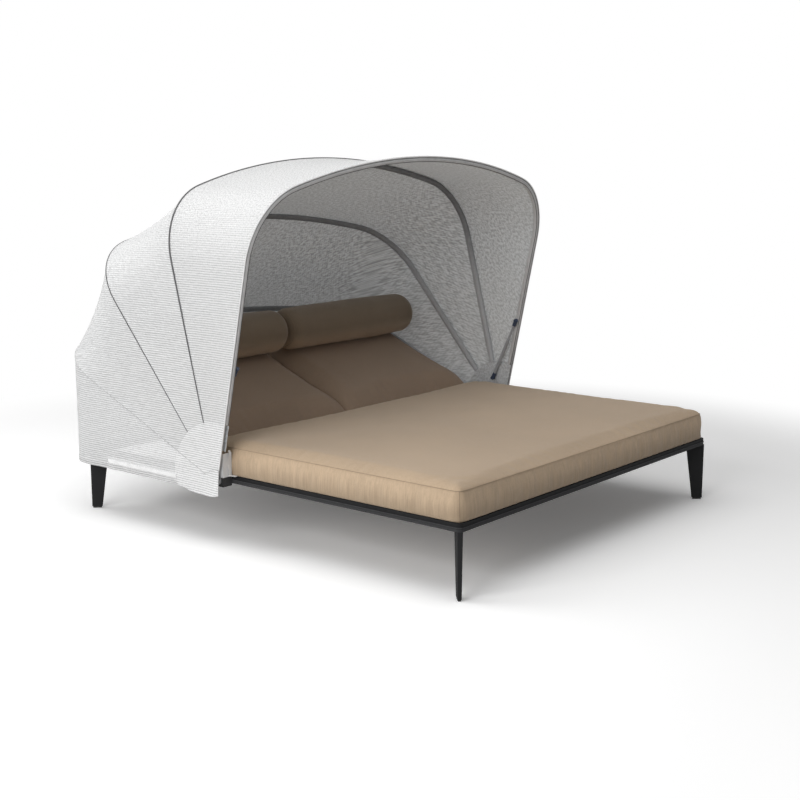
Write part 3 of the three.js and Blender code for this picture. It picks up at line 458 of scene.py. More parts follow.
def canvasWeave(name, color, low=0.0, high=1.0, paintedLightBelow=1.0, edge=1.0):
    # paintedLightBelow scales the colour below a height as painted light and shade, and edge scales it on
    # the borders as painted light
    # change is its share of colour below a height, and edge that on the borders
    f = Finish(name, color, 0.88, Sheen_Weight=0.22, Sheen_Roughness=0.45)
    spot = f.place()
    x, y, z = f.parts(spot)
    turn = 2 * pi / 0.0013
    warp = f.sine((x + z * 0.35) * turn) * 0.5 + 0.5
    weft = f.sine((y + z) * turn) * 0.5 + 0.5
    cloth = warp * weft + (1 - warp) * (1 - weft)
    border = f.attribute("border")
    slubs = f.cloudy(f.stretch(spot, (150, 150, 7)), 1.0, 3.0, 0.65)
    folds = f.cloudy(f.stretch(spot, (48, 48, 3)), 1.0)
    cross = f.cloudy(f.stretch(spot, (12, 240, 240)), 1.0, 3.0, 0.6)
    broad = f.cloudy(spot, 2.6, 4.0, 0.55)
    fine = f.cloudy(spot, 420)
    mix = cloth * 0.14 + slubs * 0.22 + cross * 0.16 + fine * 0.14 + broad * 0.34
    streaks = (slubs * 0.65 + folds * 0.35 - 0.5) * border * 0.6
    share = f.step(mix + streaks, 0.22, 0.78)
    plain, bordered, lower = [f.tone(share, 0.84 * k, 1.13 * k) for k in (1.0, edge, paintedLightBelow)]
    tone = f.blendColors(1 - f.step(z, low, high), f.blendColors(border, plain, bordered), lower)
    height = cloth * 0.5 + fine * 0.3 + slubs * 0.5 + folds * border * 2.5
    return f.done(tone, 0.80 + broad * 0.12, height, 0.00045, 0.8)


outer = {"ribbed": 0.76, "size": 120, "dark": 0.66, "light": 1.25, "gaps": 0.12, "cover": 0.67}
inner = {"ribbed": 0.0, "size": 82, "dark": 1.12, "light": 0.34, "gaps": 0.24, "cover": 0.71}
skirtSide = {"ribbed": 0.0, "size": 82, "dark": 1.05, "light": 0.50, "gaps": 0.20, "cover": 0.67}
fan = {"ribbed": 0.0, "size": 90, "dark": 1.14, "light": 0.56, "gaps": 0.10, "cover": 0.60}
canopyOuter = ribbedMesh("canopyOuter", meshLook["outer"], **outer)
skirtInner = ribbedMesh("skirtInner", meshLook["inner"], **skirtSide)
canopyInner = ribbedMesh("canopyInner", meshLook["inner"], **inner)
patchMesh = ribbedMesh("patchMesh", meshLook["patchColor"], **fan)
# the sleeves' dark base colours are painted shade, darker than the cloth itself
sleevePaintedShade = sleeveTape("sleevePaintedShade", (0.147, 0.150, 0.156), 1.36, 0.80, 4.0)
sleeveBlue = sleeveTape("sleeveBlue", (0.235, 0.240, 0.250), 0.66, 0.50, 3.6)
sleeveGrey = sewnTape("sleeveGrey", (0.60, 0.60, 0.605))
seamGrey = sewnTape("seamGrey", (0.50, 0.50, 0.50))
seamDark = sewnTape("seamDark", (0.12, 0.12, 0.122))
hemGrey = sewnTape("hemGrey", (0.74, 0.74, 0.742))
tapeWhite = sewnTape("tapeWhite", (0.90, 0.90, 0.90))
threadPale = sewnTape("threadPale", (0.62, 0.62, 0.62))
sandThread = sewnTape("sandThread", (0.30, 0.222, 0.150), 0.0012)
# the seat's borders are painted 1.14 times paler as lit, and its lower part below 0.279 to 0.366 is painted
# darker as shade
sand = canvasWeave("sandCanvas", (0.470, 0.350, 0.235), 0.279, 0.366, 0.80, 1.14)
# the back cushions' cover is the seat's cloth painted darker, as shade under the canopy
sandPaintedShade = canvasWeave("sandCanvasShaded", (0.365, 0.262, 0.186))
# the bolsters' undersides, below 0.612 to 0.705, are painted 2.1 times paler as bounce light
sandBolster = canvasWeave("sandCanvasBolster", (0.270, 0.208, 0.149), 0.612, 0.705, 2.1)

# the solids' own finishes, by their slot
nodeFinishes = {
    "powder_coat": powderCoat("blackPowderCoat", (0.027, 0.027, 0.028)),
    "inner_frame": powderCoat("darkPowderCoat", (0.02, 0.02, 0.021)),
    "bare_steel": brushedMetal("brushedSteel", (0.42, 0.42, 0.43), 0.36),
    "bracket": dippedMetal("bracketSatin", (0.76, 0.76, 0.765), 0.2778),
    "bow_tube": satinMetal("bowSatin", (0.46, 0.46, 0.465), 0.42, 0.2),
    "strut_metal": satinMetal("strutSatin", (0.38, 0.395, 0.42), 0.5, 0.05),
    "strut_fitting": mouldedPlastic("navyMoulding", (0.038, 0.056, 0.100), 0.42),
    "glide_plastic": mouldedPlastic("glideBlack", (0.012, 0.012, 0.012), 0.55),
    "canopy_cloth": canopyOuter,
    "cushion_cloth": sand,
    "bolster_cloth": sandBolster,
}
for row in frame["record"]["subparts"]:
    for materialSlot in frame["nodes"][row["node"]].material_slots:
        materialSlot.material = nodeFinishes[row["material_slot"]]
print("stage: finishes mixed,", len(bpy.data.materials), "materials")

canopy = {
    "cloth": 0.0122,  # from the tube's axis to the outer skin
    "thickness": 0.0012,
    "cap": 0.050,  # the panels start this far from the pivot
    "part": 0.00015,  # half the room between two panels on a bow
    "sag": 0.014,
    "cornerSag": 0.019,
    "hem": 0.0085,  # past the front bow
    "hemDrop": 0.0012,
    "steps": (26, 22, 22),  # along a leg, round a corner, and up to the middle of the top
    "acrossSteps": 20,
    "wrapSteps": 4,
}


def bowStations(bow, offset, start, steps):
    # (x, distance from the pivot axis, outward x, outward r) from the right leg over to the left one
    legSteps, cornerSteps, topSteps = steps
    half, corner, top = bows["halfWidth"], bows["cornerRadius"], bows["topRadius"]
    topCentre = bows["crown"][bow] - top
    cornerX = half - corner
    cornerR = topCentre + sqrt((top - corner) ** 2 - cornerX ** 2)
    topAngle = atan2(cornerR - topCentre, cornerX)
    leg = [start + (cornerR - start) * (i / legSteps) for i in range(legSteps)]
    stations = [(half + offset, r, 1.0, 0.0) for r in leg]
    cornerTurns = [topAngle * i / cornerSteps for i in range(cornerSteps)]
    topTurns = [topAngle + (pi / 2 - topAngle) * i / topSteps for i in range(topSteps + 1)]
    arcs = ((cornerX, cornerR, corner + offset, cornerTurns), (0.0, topCentre, top + offset, topTurns))
    for centreX, centreR, reach, turns in arcs:
        for a in turns:
            outX, outR = cos(a), sin(a)
            stations.append((centreX + reach * outX, centreR + reach * outR, outX, outR))
    return stations + [(-x, r, -nx, nr) for x, r, nx, nr in reversed(stations[:-1])]


def bowSpot(station, lean, shift=0.0, lift=0.0):
    # a station's place at a bow's lean, moved across the bow's plane by shift and outwards by lift
    x, r, nx, nr = station
    y = (r + lift * nr) * sin(lean) + shift * cos(lean)
    z = (r + lift * nr) * cos(lean) - shift * sin(lean)
    return pivot + Vector((x + lift * nx, y, z))


def outwardAt(station, lean):
    return Vector((station[2], station[3] * sin(lean), station[3] * cos(lean)))


def roundTube(top, station, lean, side, target):
    # the cloth's line from the seam on a tube round to where it leaves for its target
    # side is 1 where it leaves to the rear and -1 where it leaves to the front
    outward = outwardAt(station, lean)
    away = Vector((0, side * cos(lean), -side * sin(lean)))
    leave = target - top
    wrap = max(0.0, atan2(-leave.dot(outward), leave.dot(away)))
    line = []
    for k in range(canopy["wrapSteps"] + 1):
        a = wrap * k / canopy["wrapSteps"]
        shift = away * (canopy["cloth"] * sin(a))
        line.append(top + outward * (canopy["cloth"] * (cos(a) - 1)) + shift)
    return line


def alongSection(rows):
    # flat places, the same on both sides: length along the cloth by arc length over the top
    coords = []
    heights = [p.z for p in rows[0]]
    for i, row in enumerate(rows[:len(rows) // 2 + 1]):
        if i:
            for j, (p, q) in enumerate(zip(row, rows[i - 1])):
                heights[j] += hypot(p.x - q.x, p.z - q.z)
        along = row[0].y
        line = []
        for j, p in enumerate(row):
            if j:
                along += (p - row[j - 1]).length
            line.append((along, heights[j]))
        coords.append(line)
    return coords + coords[-2::-1]


def crownShares(rows, legSteps, cornerSteps):
    # how far each point has come over the top: 0 on the legs and 1 past the corners
    shares = []
    for i, row in enumerate(rows):
        place = min(i, len(rows) - 1 - i)
        shares += [clamp((place - legSteps * 0.9) / (cornerSteps * 0.9))] * len(row)
    return shares


def panelRows(rear, front, hemSteps):
    rearLean, frontLean = leanOf[rear], leanOf[front]
    stations = [bowStations(bow, canopy["cloth"], canopy["cap"], canopy["steps"]) for bow in (rear, front)]
    rows = []
    for a, b in zip(*stations):
        start, end = bowSpot(a, rearLean, -canopy["part"]), bowSpot(b, frontLean, canopy["part"])
        inward = -outwardAt(a, (rearLean + frontLean) / 2)
        bend = 4 * abs(a[2]) * abs(a[3])  # 1 where the bow turns its corner
        sag = (canopy["sag"] + (canopy["cornerSag"] - canopy["sag"]) * bend) * a[1] / bows["crown"]["front"]
        control = (start + end) / 2 + inward * (2 * sag)
        first = roundTube(start, a, rearLean, -1, control)
        last = roundTube(end, b, frontLean, 1, control)
        control = (first[-1] + last[-1]) / 2 + inward * (2 * sag)
        between = []
        for k in range(1, canopy["acrossSteps"]):
            t = k / canopy["acrossSteps"]
            between.append(first[-1] * (1 - t) ** 2 + control * (2 * t * (1 - t)) + last[-1] * t ** 2)
        row = first + between + last[::-1]
        for k in range(1, hemSteps + 1):
            shift, lift = -canopy["hem"] * k / hemSteps, -canopy["hemDrop"] * k / hemSteps
            row.append(bowSpot(b, frontLean, shift, lift))
        rows.append(row)
    return rows


def turnBetween(panel, rear, front):
    # each point turns with the bows by its own lean, so that the folds stay even
    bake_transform(panel, bows["body"][rear], bows["body"][front], start=(0, 1, 0), end=(0, 0, 1))
    weights = panel.data.attributes["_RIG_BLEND"]
    for vertex, spot in zip(panel.data.vertices, weights.data):
        d = vertex.co - pivot
        spot.value = clamp((leanOf[rear] - atan2(d.y, d.z)) / bows["step"])


def makePanel(name, node, rear, front, hemSteps=0):
    rows = panelRows(rear, front, hemSteps)
    panel = fromGrid(name, rows, alongSection(rows))
    mark(panel, "crown", crownShares(rows, *canopy["steps"][:2]))
    inside = pivot + Vector((0, 0.2, 0.2))
    finishSheet(panel, inside, canopy["thickness"], canopyOuter, canopyInner)
    turnBetween(panel, rear, front)
    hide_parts(node)
    return panel


panelRear = makePanel("canopyPanelRear", "canopy_panel_rear", "rear", "third")
panelMiddle = makePanel("canopyPanelMiddle", "canopy_panel_middle", "third", "second")
panelFront = makePanel("canopyPanelFront", "canopy_panel_front", "second", "front", hemSteps=4)
print("stage: canopy panels hung")

skirt = {
    "front": 0.031,  # the flap reaches this far before the pivot
    "capFront": 0.0185,  # and its upper end this far
    "capRoom": 0.0003,
    "backPlace": 1.04 - 0.136,
    "corner": 0.100,
    "rim": 0.0128,
    "hemHeight": 0.220,
    # the flap's hem: place along the side, height
    "flapLine": [
        (-0.031, 0.2125), (-0.004, 0.2060), (0.030, 0.2020), (0.090, 0.2020),
        (0.137, 0.2045), (0.187, 0.2162), (0.2255, 0.2168), (0.240, 0.2168),
    ],
    "flapReach": 0.2255,
    "flapRamp": 0.003,
    "flare": 0.018,
    "flareReach": 0.260,
    "hang": 0.020,  # how far the back hangs in
    "hangDrop": 0.5,  # shorter drops hang in less
    "ripple": 0.0022,
    "rippleDrop": 0.3,
    "waves": ((1.0, 41, 1.3), (0.6, 73, 0.4), (0.5, 17, 0.0)),  # share, radians in one metre, start
    "capSteps": 20,
    "steps": (34, 22, 22),
    "rows": 26,
    "merge": 0.00002,
}


def hemHeightAt(y):
    # the flap hangs lower than the rest of the hem, in a soft wave, and steps up behind
    line = skirt["flapLine"]
    flap = line[0][1]
    for (y0, z0), (y1, z1) in zip(line, line[1:]):
        share = clamp((y - y0) / (y1 - y0))
        flap += (z1 - z0) * share * share * (3 - 2 * share)
    share = clamp((y - skirt["flapReach"]) / skirt["flapRamp"])
    return flap + (skirt["hemHeight"] - flap) * share - pivot.z


def hemSpot(y):
    # the hem's place on the right side; the flap flares out
    flare = clamp((skirt["flareReach"] - skirt["front"] - y) / skirt["flareReach"])
    x = bows["halfWidth"] + canopy["cloth"] + skirt["flare"] * flare * flare
    return pivot + Vector((x, y, hemHeightAt(y)))


def hangSkirt():
    # the right half, column by column from the front flap to the middle of the back: (top line, hem point)
    across = bows["halfWidth"] + canopy["cloth"]
    lean = bows["rearLean"]
    cap = canopy["cap"] * cos(bows["step"] / 2) - skirt["capRoom"]
    first = asin(-skirt["capFront"] / cap)
    columns = []
    for i in range(skirt["capSteps"]):
        a = first + (lean - first) * i / skirt["capSteps"]
        top = pivot + Vector((across, cap * sin(a), cap * cos(a)))
        forward = (skirt["front"] - skirt["capFront"]) * (1 - i / skirt["capSteps"]) ** 2
        columns.append(([top] * (canopy["wrapSteps"] + 1), hemSpot(cap * sin(a) - forward)))
    half = sum(skirt["steps"])
    stations = bowStations("rear", canopy["cloth"], canopy["cap"], skirt["steps"])[:half + 1]
    legSteps, cornerSteps, _ = skirt["steps"]
    for y in (skirt["flapReach"] + skirt["flapRamp"], skirt["flapReach"]):
        # one more column on each side of the flap's step
        r = y / sin(lean)
        at = sum(1 for station in stations[:legSteps] if station[1] < r)
        stations.insert(at, (across, r, 1.0, 0.0))
    half += 2
    legSteps += 2
    cornerEnd = legSteps + cornerSteps
    cornerY = skirt["backPlace"] - skirt["corner"]
    radius = skirt["corner"] - skirt["rim"] + canopy["cloth"]
    centreX = bows["halfWidth"] + skirt["rim"] - skirt["corner"]
    hemZ = skirt["hemHeight"] - pivot.z
    for i in range(half + 1):
        top = bowSpot(stations[i], lean, canopy["part"])
        if i < legSteps:
            low = hemSpot(top.y - pivot.y)
        else:
            a = min(1.0, (i - legSteps) / (cornerEnd - legSteps)) * pi / 2
            rest = max(0, i - cornerEnd) / (half - cornerEnd)
            x = centreX * (1 - rest) + radius * cos(a)
            low = pivot + Vector((x, cornerY + radius * sin(a), hemZ))
        if i == legSteps - 1:
            low = low.lerp(pivot + Vector((centreX + radius, cornerY, hemZ)), 0.5)
        columns.append((roundTube(top, stations[i], lean, 1, low), low))
    return columns


def skirtDrop(line, low, share, lift=0.0):
    # a place down a column of the skirt, with the soft hang and ripples of free cloth
    top = line[-1]
    p = top.lerp(low, share)
    drop = (top - low).length
    if abs(low.x) > bows["halfWidth"] - 0.02:
        out, along = Vector((low.x, 0, 0)).normalized(), low.y
    else:
        out, along = Vector((low.x * 0.6, 1.0, 0)).normalized(), low.x
        p = p - out * (skirt["hang"] * 4 * share * (1 - share) * min(1.0, drop / skirt["hangDrop"]))
    free = share ** 2 * min(1.0, drop / skirt["rippleDrop"])
    wave = sum(part * sin(along * turn + start) for part, turn, start in skirt["waves"])
    return p + out * (skirt["ripple"] * free * wave + lift)


def skirtFlat(rows):
    # ribs lie level: the flat place is the length along the skirt and the height
    coords, along = [], 0.0
    for i, column in enumerate(rows):
        if i:
            d = column[-1] - rows[i - 1][-1]
            along += hypot(d.x, d.y)
        coords.append([(along, p.z if abs(p.x) > 0.9 else p.z * 1.08) for p in column])
    return coords


def sewSkirt(name, rows, thickness, *finishes):
    piece = fromGrid(name, rows, skirtFlat(rows))
    editWhole(piece, lambda: bpy.ops.mesh.remove_doubles(threshold=skirt["merge"]))
    finishSheet(piece, Vector((0, 0.4, 0.3)), thickness, *finishes)
    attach(piece, "frame")
    return piece


skirtColumns = hangSkirt()
shares = [k / skirt["rows"] for k in range(1, skirt["rows"] + 1)]
rows = bothSides([line + [skirtDrop(line, low, s) for s in shares] for line, low in skirtColumns])
canopySkirt = sewSkirt("canopySkirt", rows, canopy["thickness"], canopyOuter, skirtInner)
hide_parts("canopy_skirt")
print("stage: skirt hung")

# the bows' sleeves: an oval of cloth round each tube, a little proud of it on the inside
sleeveLook = {
    "halfWidth": {"rear": 0.0135, "third": 0.0148, "second": 0.0148, "front": 0.0125},
    "halfDepth": 0.0113,
    "thickness": 0.0008,
    "sink": 0.0020,
    "start": 0.236,
    "steps": (20, 18, 16),
    "sides": 14,
    "cell": (0.006, 0.03),  # one quad's flat size
}
cordLook = {"steps": (24, 22, 20), "thinReach": 0.55}


def makeSleeve(name, bow, finish):
    stations = bowStations(bow, 0.0, sleeveLook["start"], sleeveLook["steps"])
    rings = []
    for i, station in enumerate(stations):
        fit = 0.80 + 0.20 * min(1.0, min(i, len(stations) - 1 - i) / 3)
        pucker = 1.0 + 0.03 * sin(i * 2.1)
        ring = []
        for a in fullTurn(sleeveLook["sides"]):
            shift = sleeveLook["halfWidth"][bow] * fit * pucker * cos(a)
            lift = sleeveLook["halfDepth"] * sin(a) * (0.9 + 0.1 * fit) - sleeveLook["sink"]
            ring.append(bowSpot(station, leanOf[bow], shift, lift))
        rings.append(ring)
    sleeve = fromGrid(name, rings, evenCoords(rings, *sleeveLook["cell"]), closed=True)
    faceAwayFrom(sleeve, bowSpot(stations[len(stations) // 2], leanOf[bow], 0, -0.4))
    editWhole(sleeve, lambda: bpy.ops.mesh.normals_make_consistent(inside=False))
    thicken(sleeve, sleeveLook["thickness"])
    smooth(sleeve, 60)
    return dress(sleeve, bows["body"][bow], finish)


def seamCord(name, bow, finish, radius, start, shift=0.0, lift=0.0, thin=1.0):
    # thin is the share of the radius that is left at the two ends
    stations = bowStations(bow, 0.0, start, cordLook["steps"])
    points = [bowSpot(s, leanOf[bow], shift, canopy["cloth"] + lift) for s in stations]
    shares = [thin + (1 - thin) * min(1.0, (s[1] - start) / cordLook["thinReach"]) for s in stations]
    return dress(cordAlong(name, points, radius, shares=shares), bows["body"][bow], finish)


sleeveRear = makeSleeve("bowSleeveRear", "rear", sleeveBlue)
sleeveThird = makeSleeve("bowSleeveThird", "third", sleevePaintedShade)
sleeveSecond = makeSleeve("bowSleeveSecond", "second", sleevePaintedShade)
sleeveFront = makeSleeve("bowSleeveFront", "front", sleeveGrey)
pipingThird = seamCord("seamPipingThird", "third", seamDark, 0.0023, 0.235, lift=0.0006, thin=0.55)
pipingSecond = seamCord("seamPipingSecond", "second", seamDark, 0.0034, 0.235, lift=0.0012, thin=0.55)
pipingRear = seamCord("seamPipingRear", "rear", seamGrey, 0.0016, 0.06, lift=0.0002)
hemEdge = seamCord("frontHemEdge", "front", hemGrey, 0.0030, 0.052, shift=-canopy["hem"], lift=-0.0016)
# a dark cord at the front rim's outer edge: painted shade where the hem's edge turns away from the light
rimPaintedShade = seamCord("frontRimPaintedShade", "front", seamDark, 0.0014, 0.236, shift=-0.0088, lift=-0.0050)
rimInner = seamCord("frontRimInner", "front", seamDark, 0.0013, 0.236, shift=-0.0096, lift=-0.0220)
print("stage: sleeves and piping sewn")

# fans of close cloth inside the bows' lower ends, on each side of the middle and the front panel
patchLook = {
    "x": 0.9540,
    "low": 0.126,
    "top": 0.238,
    "ragged": 0.006,
    "wave": 0.003,
    "uneven": 0.0012,
    "beyond": 0.0125,  # how far it goes past the outermost bows
    "thickness": 0.0010,
    "turnSteps": 12,
    "steps": 10,
}


def makePatch(name, rear, front, side):
    wrap, count, steps = patchLook["beyond"], patchLook["turnSteps"], patchLook["steps"]
    low, top = patchLook["low"], patchLook["top"]
    spots = [(leanOf[rear], wrap * k / 2) for k in (2, 1)] if rear == "third" else []
    spots += [(leanOf[rear] - bows["step"] * k / count, 0.0) for k in range(count + 1)]
    spots += [(leanOf[front], -wrap * k / 2) for k in (1, 2)] if front == "front" else []
    rows = []
    for lean, shift in spots:
        ragged = patchLook["ragged"] * noise.noise(Vector((lean * 11, side, 0.5)))
        ragged += patchLook["wave"] * sin(lean * 37)
        row = []
        for k in range(steps + 1):
            r = low + (top + ragged - low) * k / steps
            x = patchLook["x"] - patchLook["uneven"] * abs(noise.noise(Vector((lean * 6, r * 40, side))))
            row.append(bowSpot((side * x, r, side, 0.0), lean, shift))
        rows.append(row)
    patch = fromGrid(name, rows, [[(p.y, p.z) for p in row] for row in rows])
    finishSheet(patch, Vector((side * 2.0, 0.1, 0.4)), patchLook["thickness"], patchMesh)
    turnBetween(patch, rear, front)
    return patch


for label, rear, front in (("Middle", "third", "second"), ("Front", "second", "front")):
    ends = ((-1, "Left"), (1, "Right"))
    [makePatch(f"innerPatch{label}{end}", rear, front, side) for side, end in ends]
print("stage: inner patches sewn")

# a second layer of mesh along the lower edge with three rows of stitches, and a white tape on each side
hemLook = {
    "from": skirt["flapReach"] + skirt["flapRamp"] + pivot.y - 0.0005,
    "band": 0.026,
    "bandThickness": 0.0011,
    "bandLift": 0.0014,
    "stitches": (0.0060, 0.0135, 0.0215),
    "stitchLift": 0.0019,
    "thread": 0.0009,
    "tapeLow": 0.026,
    "tapeTop": 0.040,
    "tapeEnd": pivot.y + 0.665,
    "tapeThickness": 0.0012,
    "tapeLift": 0.0016,
}


def bandRows(lift, top, bottom=0.0, until=None):
    # rows of points between two heights above the hem, from the flap's step round the back
    columns = []
    for line, low in skirtColumns:
        if low.y < hemLook["from"] or (until and low.y > until):
            continue
        drop = (line[-1] - low).length
        shares = [1 - (top + (bottom - top) * k / 4) / drop for k in range(5)]
        columns.append([skirtDrop(line, low, s, lift) for s in shares])
    return columns if until else bothSides(columns)


rows = bandRows(hemLook["bandLift"], hemLook["band"])
skirtBand = sewSkirt("skirtHemBand", rows, hemLook["bandThickness"], canopyOuter)
for k, height in enumerate(hemLook["stitches"]):
    line = [column[0] for column in bandRows(hemLook["stitchLift"], height)]
    cord = cordAlong(f"skirtStitch{k + 1}", line, hemLook["thread"], sides=1)
    dress(cord, "frame", threadPale)
for side, label in ((1, "Right"), (-1, "Left")):
    rows = bandRows(hemLook["tapeLift"], hemLook["tapeTop"], hemLook["tapeLow"], until=hemLook["tapeEnd"])
    sewSkirt(f"skirtTape{label}", flip(rows, side), hemLook["tapeThickness"], tapeWhite)

# what the cushions' covers share: their faces and borders, and how they fill out between held seams
coverLook = {
    "pull": 0.05,  # the seams draw the flat faces in as far as this
    "uneven": 0.0022,
    "border": 0.012,  # how near to the plan's edge the border lies
    "gathers": 150,  # radians in one metre
    "gatherStart": 0.006,  # the gathers reach their full depth this far from a seam
    "gatherFade": 0.018,
    "markFade": 0.03,
    "frames": 20,
    "farthest": 0.007,
    "cloth": {
        "quality": 5,
        "mass": 0.25,
        "tension_stiffness": 12,
        "compression_stiffness": 12,
        "shear_stiffness": 4,
        "bending_stiffness": 0.4,
        "use_pressure": True,
        "uniform_pressure_force": 4.0,
        "shrink_min": -0.012,  # a little spare cloth, which puckers beside the seams
    },
}


def boxGrid(name, size, cuts):
    # a box on the floor, cut into an even grid, each direction by its own number of cuts
    startClean()
    bpy.ops.mesh.primitive_cube_add(size=1, location=(0.0, 0.0, size[2] / 2))
    piece = bpy.context.object
    piece.name = name
    piece.scale = size
    bpy.ops.object.transform_apply(location=True, rotation=True, scale=True)
    for axis in range(3):
        bpy.ops.object.mode_set(mode="EDIT")
        bpy.ops.mesh.select_mode(type="EDGE")
        bpy.ops.mesh.select_all(action="DESELECT")
        bpy.ops.object.mode_set(mode="OBJECT")
        verts = piece.data.vertices
        for edge in piece.data.edges:
            d = verts[edge.vertices[1]].co - verts[edge.vertices[0]].co
            edge.select = abs(d[axis]) > 0.5 * d.length
        bpy.ops.object.mode_set(mode="EDIT")
        bpy.ops.mesh.subdivide(number_cuts=cuts[axis])
    bpy.ops.object.mode_set(mode="OBJECT")
    return piece


def cornerSpot(x, y, spec):
    # a place on the plan with its corners rounded: (x, y, outward x, outward y, distance to the edge)
    halfX, halfY, radius = spec["width"] / 2, spec["length"] / 2, spec["corner"]
    u = max(0.0, abs(x) - (halfX - radius)) / radius
    w = max(0.0, abs(y) - (halfY - radius)) / radius
    if u > 0 and w > 0:
        across, along = u * sqrt(1 - w * w / 2), w * sqrt(1 - u * u / 2)
        reach = hypot(across, along)
        outX, outY = copysign(across / reach, x), copysign(along / reach, y)
        x = copysign(halfX - radius + radius * across, x)
        y = copysign(halfY - radius + radius * along, y)
        return x, y, outX, outY, max(0.0, radius * (1 - reach))
    toX, toY = halfX - abs(x), halfY - abs(y)
    if toX < toY:
        return x, y, copysign(1.0, x), 0.0, toX
    return x, y, 0.0, copysign(1.0, y), toY


def nearEdge(value, half):
    # moves the grid's outer rows closer together, so that the shoulders get more of them
    d = half - abs(value)
    return copysign(half - d * (1 - 0.62 * (1 - d / half) ** 20), value)


def shapeCushion(piece, spec):
    # rounds the upright corners, draws the seams in, rolls the shoulders and crowns the top
    thickness, halfY = spec["thickness"], spec["length"] / 2
    for v in piece.data.vertices:
        rise = v.co.z / thickness
        across, along = nearEdge(v.co.x, spec["width"] / 2), nearEdge(v.co.y, halfY)
        x, y, outX, outY, edge = cornerSpot(across, along, spec)
        seam = spec["draw"] if rise > 0.5 else spec["lowDraw"]
        if rise < 0.001 or rise > 0.999:  # on the flat faces
            inset = seam * max(0.0, 1 - edge / coverLook["pull"])
        else:
            inset = seam * (1 - min(1.0, sin(pi * rise) * 1.15) ** 0.8)
        x, y = x - outX * inset, y - outY * inset
        z = rise * (thickness - spec["seamDrop"])
        if rise > 0.999:
            shoulder = 1 - (1 - min(1.0, edge / spec["shoulder"])) ** spec["roll"]
            middle = 1 - (1 - min(1.0, edge / min(spec["width"], spec["length"]) * 2)) ** 2
            z += (spec["crown"] + spec["seamDrop"]) * (0.78 * shoulder + 0.22 * middle)
            z += noise.noise(Vector((x * 4.5, y * 4.5, spec["width"]))) * coverLook["uneven"] * shoulder
        nearEnd = max(0.0, 1 - (y + halfY) / spec["rollLength"])
        z -= spec["rollDrop"] * nearEnd ** 2 * rise
        y += z * tan(spec["lean"]) * (halfY - y) / (2 * halfY)
        v.co = (x, y, z)


def puckerBorder(piece, spec):
    # small gathers that run up and down the border beside its two seams
    thickness, length = spec["thickness"] - spec["seamDrop"], spec["length"]
    marks = []
    for v in piece.data.vertices:
        y = v.co.y - v.co.z * tan(spec["lean"]) * (length / 2 - v.co.y) / length
        _, _, outX, outY, edge = cornerSpot(v.co.x, y, spec)
        onSide = max(0.0, 1 - edge / coverLook["border"]) * (1.0 if v.co.z < thickness + 0.002 else 0.0)
        beside = min(v.co.z, max(0.0, thickness - v.co.z))
        along = v.co.x * abs(outY) + y * abs(outX)
        gather = sin(along * coverLook["gathers"] + 2 * noise.noise(Vector((along * 9, 0, length))))
        gather += noise.noise(Vector((along * 60, 3, 1)))
        share = onSide * exp(-beside / coverLook["gatherFade"])
        share *= min(1.0, beside / coverLook["gatherStart"])
        v.co += Vector((outX, outY, 0)) * (gather * spec["gather"] * share)
        marks.append(max(onSide, 0.8 * exp(-edge / coverLook["markFade"])))
    mark(piece, "border", marks)


def seamRings(piece, spec):
    # the places of the two seams and of the upright ones, read from the grid before it is shaped
    seams = {"top": [], "low": [], "upright": []}
    for v in piece.data.vertices:
        rise = v.co.z / spec["thickness"]
        toX, toY = spec["width"] / 2 - abs(v.co.x), spec["length"] / 2 - abs(v.co.y)
        if min(toX, toY) < 1e-5:
            if rise > 0.999:
                seams["top"].append(v.index)
            elif rise < 0.001:
                seams["low"].append(v.index)
            if max(toX, toY) < 1e-5:
                seams["upright"].append(v.index)
    return seams


def ringOrder(piece, members):
    # the members in order round the cushion, from the first one on
    verts = piece.data.vertices
    order = sorted(members, key=lambda i: atan2(verts[i].co.y, verts[i].co.x))
    start = order.index(members[0])
    return order[start:] + order[:start]


def easeCloth(piece, held):
    rest = [v.co.copy() for v in piece.data.vertices]
    piece.vertex_groups.new(name="held").add(held, 1.0, "REPLACE")
    cover = piece.modifiers.new("cover", "CLOTH")
    for key, value in coverLook["cloth"].items():
        setattr(cover.settings, key, value)
    cover.settings.vertex_group_mass = "held"
    cover.settings.effector_weights.gravity = 0.0
    cover.collision_settings.use_collision = False
    scene = bpy.context.scene
    cover.point_cache.frame_start, cover.point_cache.frame_end = 1, coverLook["frames"]
    for k in range(1, coverLook["frames"] + 1):
        scene.frame_set(k)
    makeActive(piece)
    bpy.ops.object.modifier_apply(modifier="cover")
    scene.frame_set(1)
    for v, p in zip(piece.data.vertices, rest):
        move = v.co - p
        if move.length > coverLook["farthest"]:
            v.co = p + move.normalized() * coverLook["farthest"]
    piece.vertex_groups.clear()


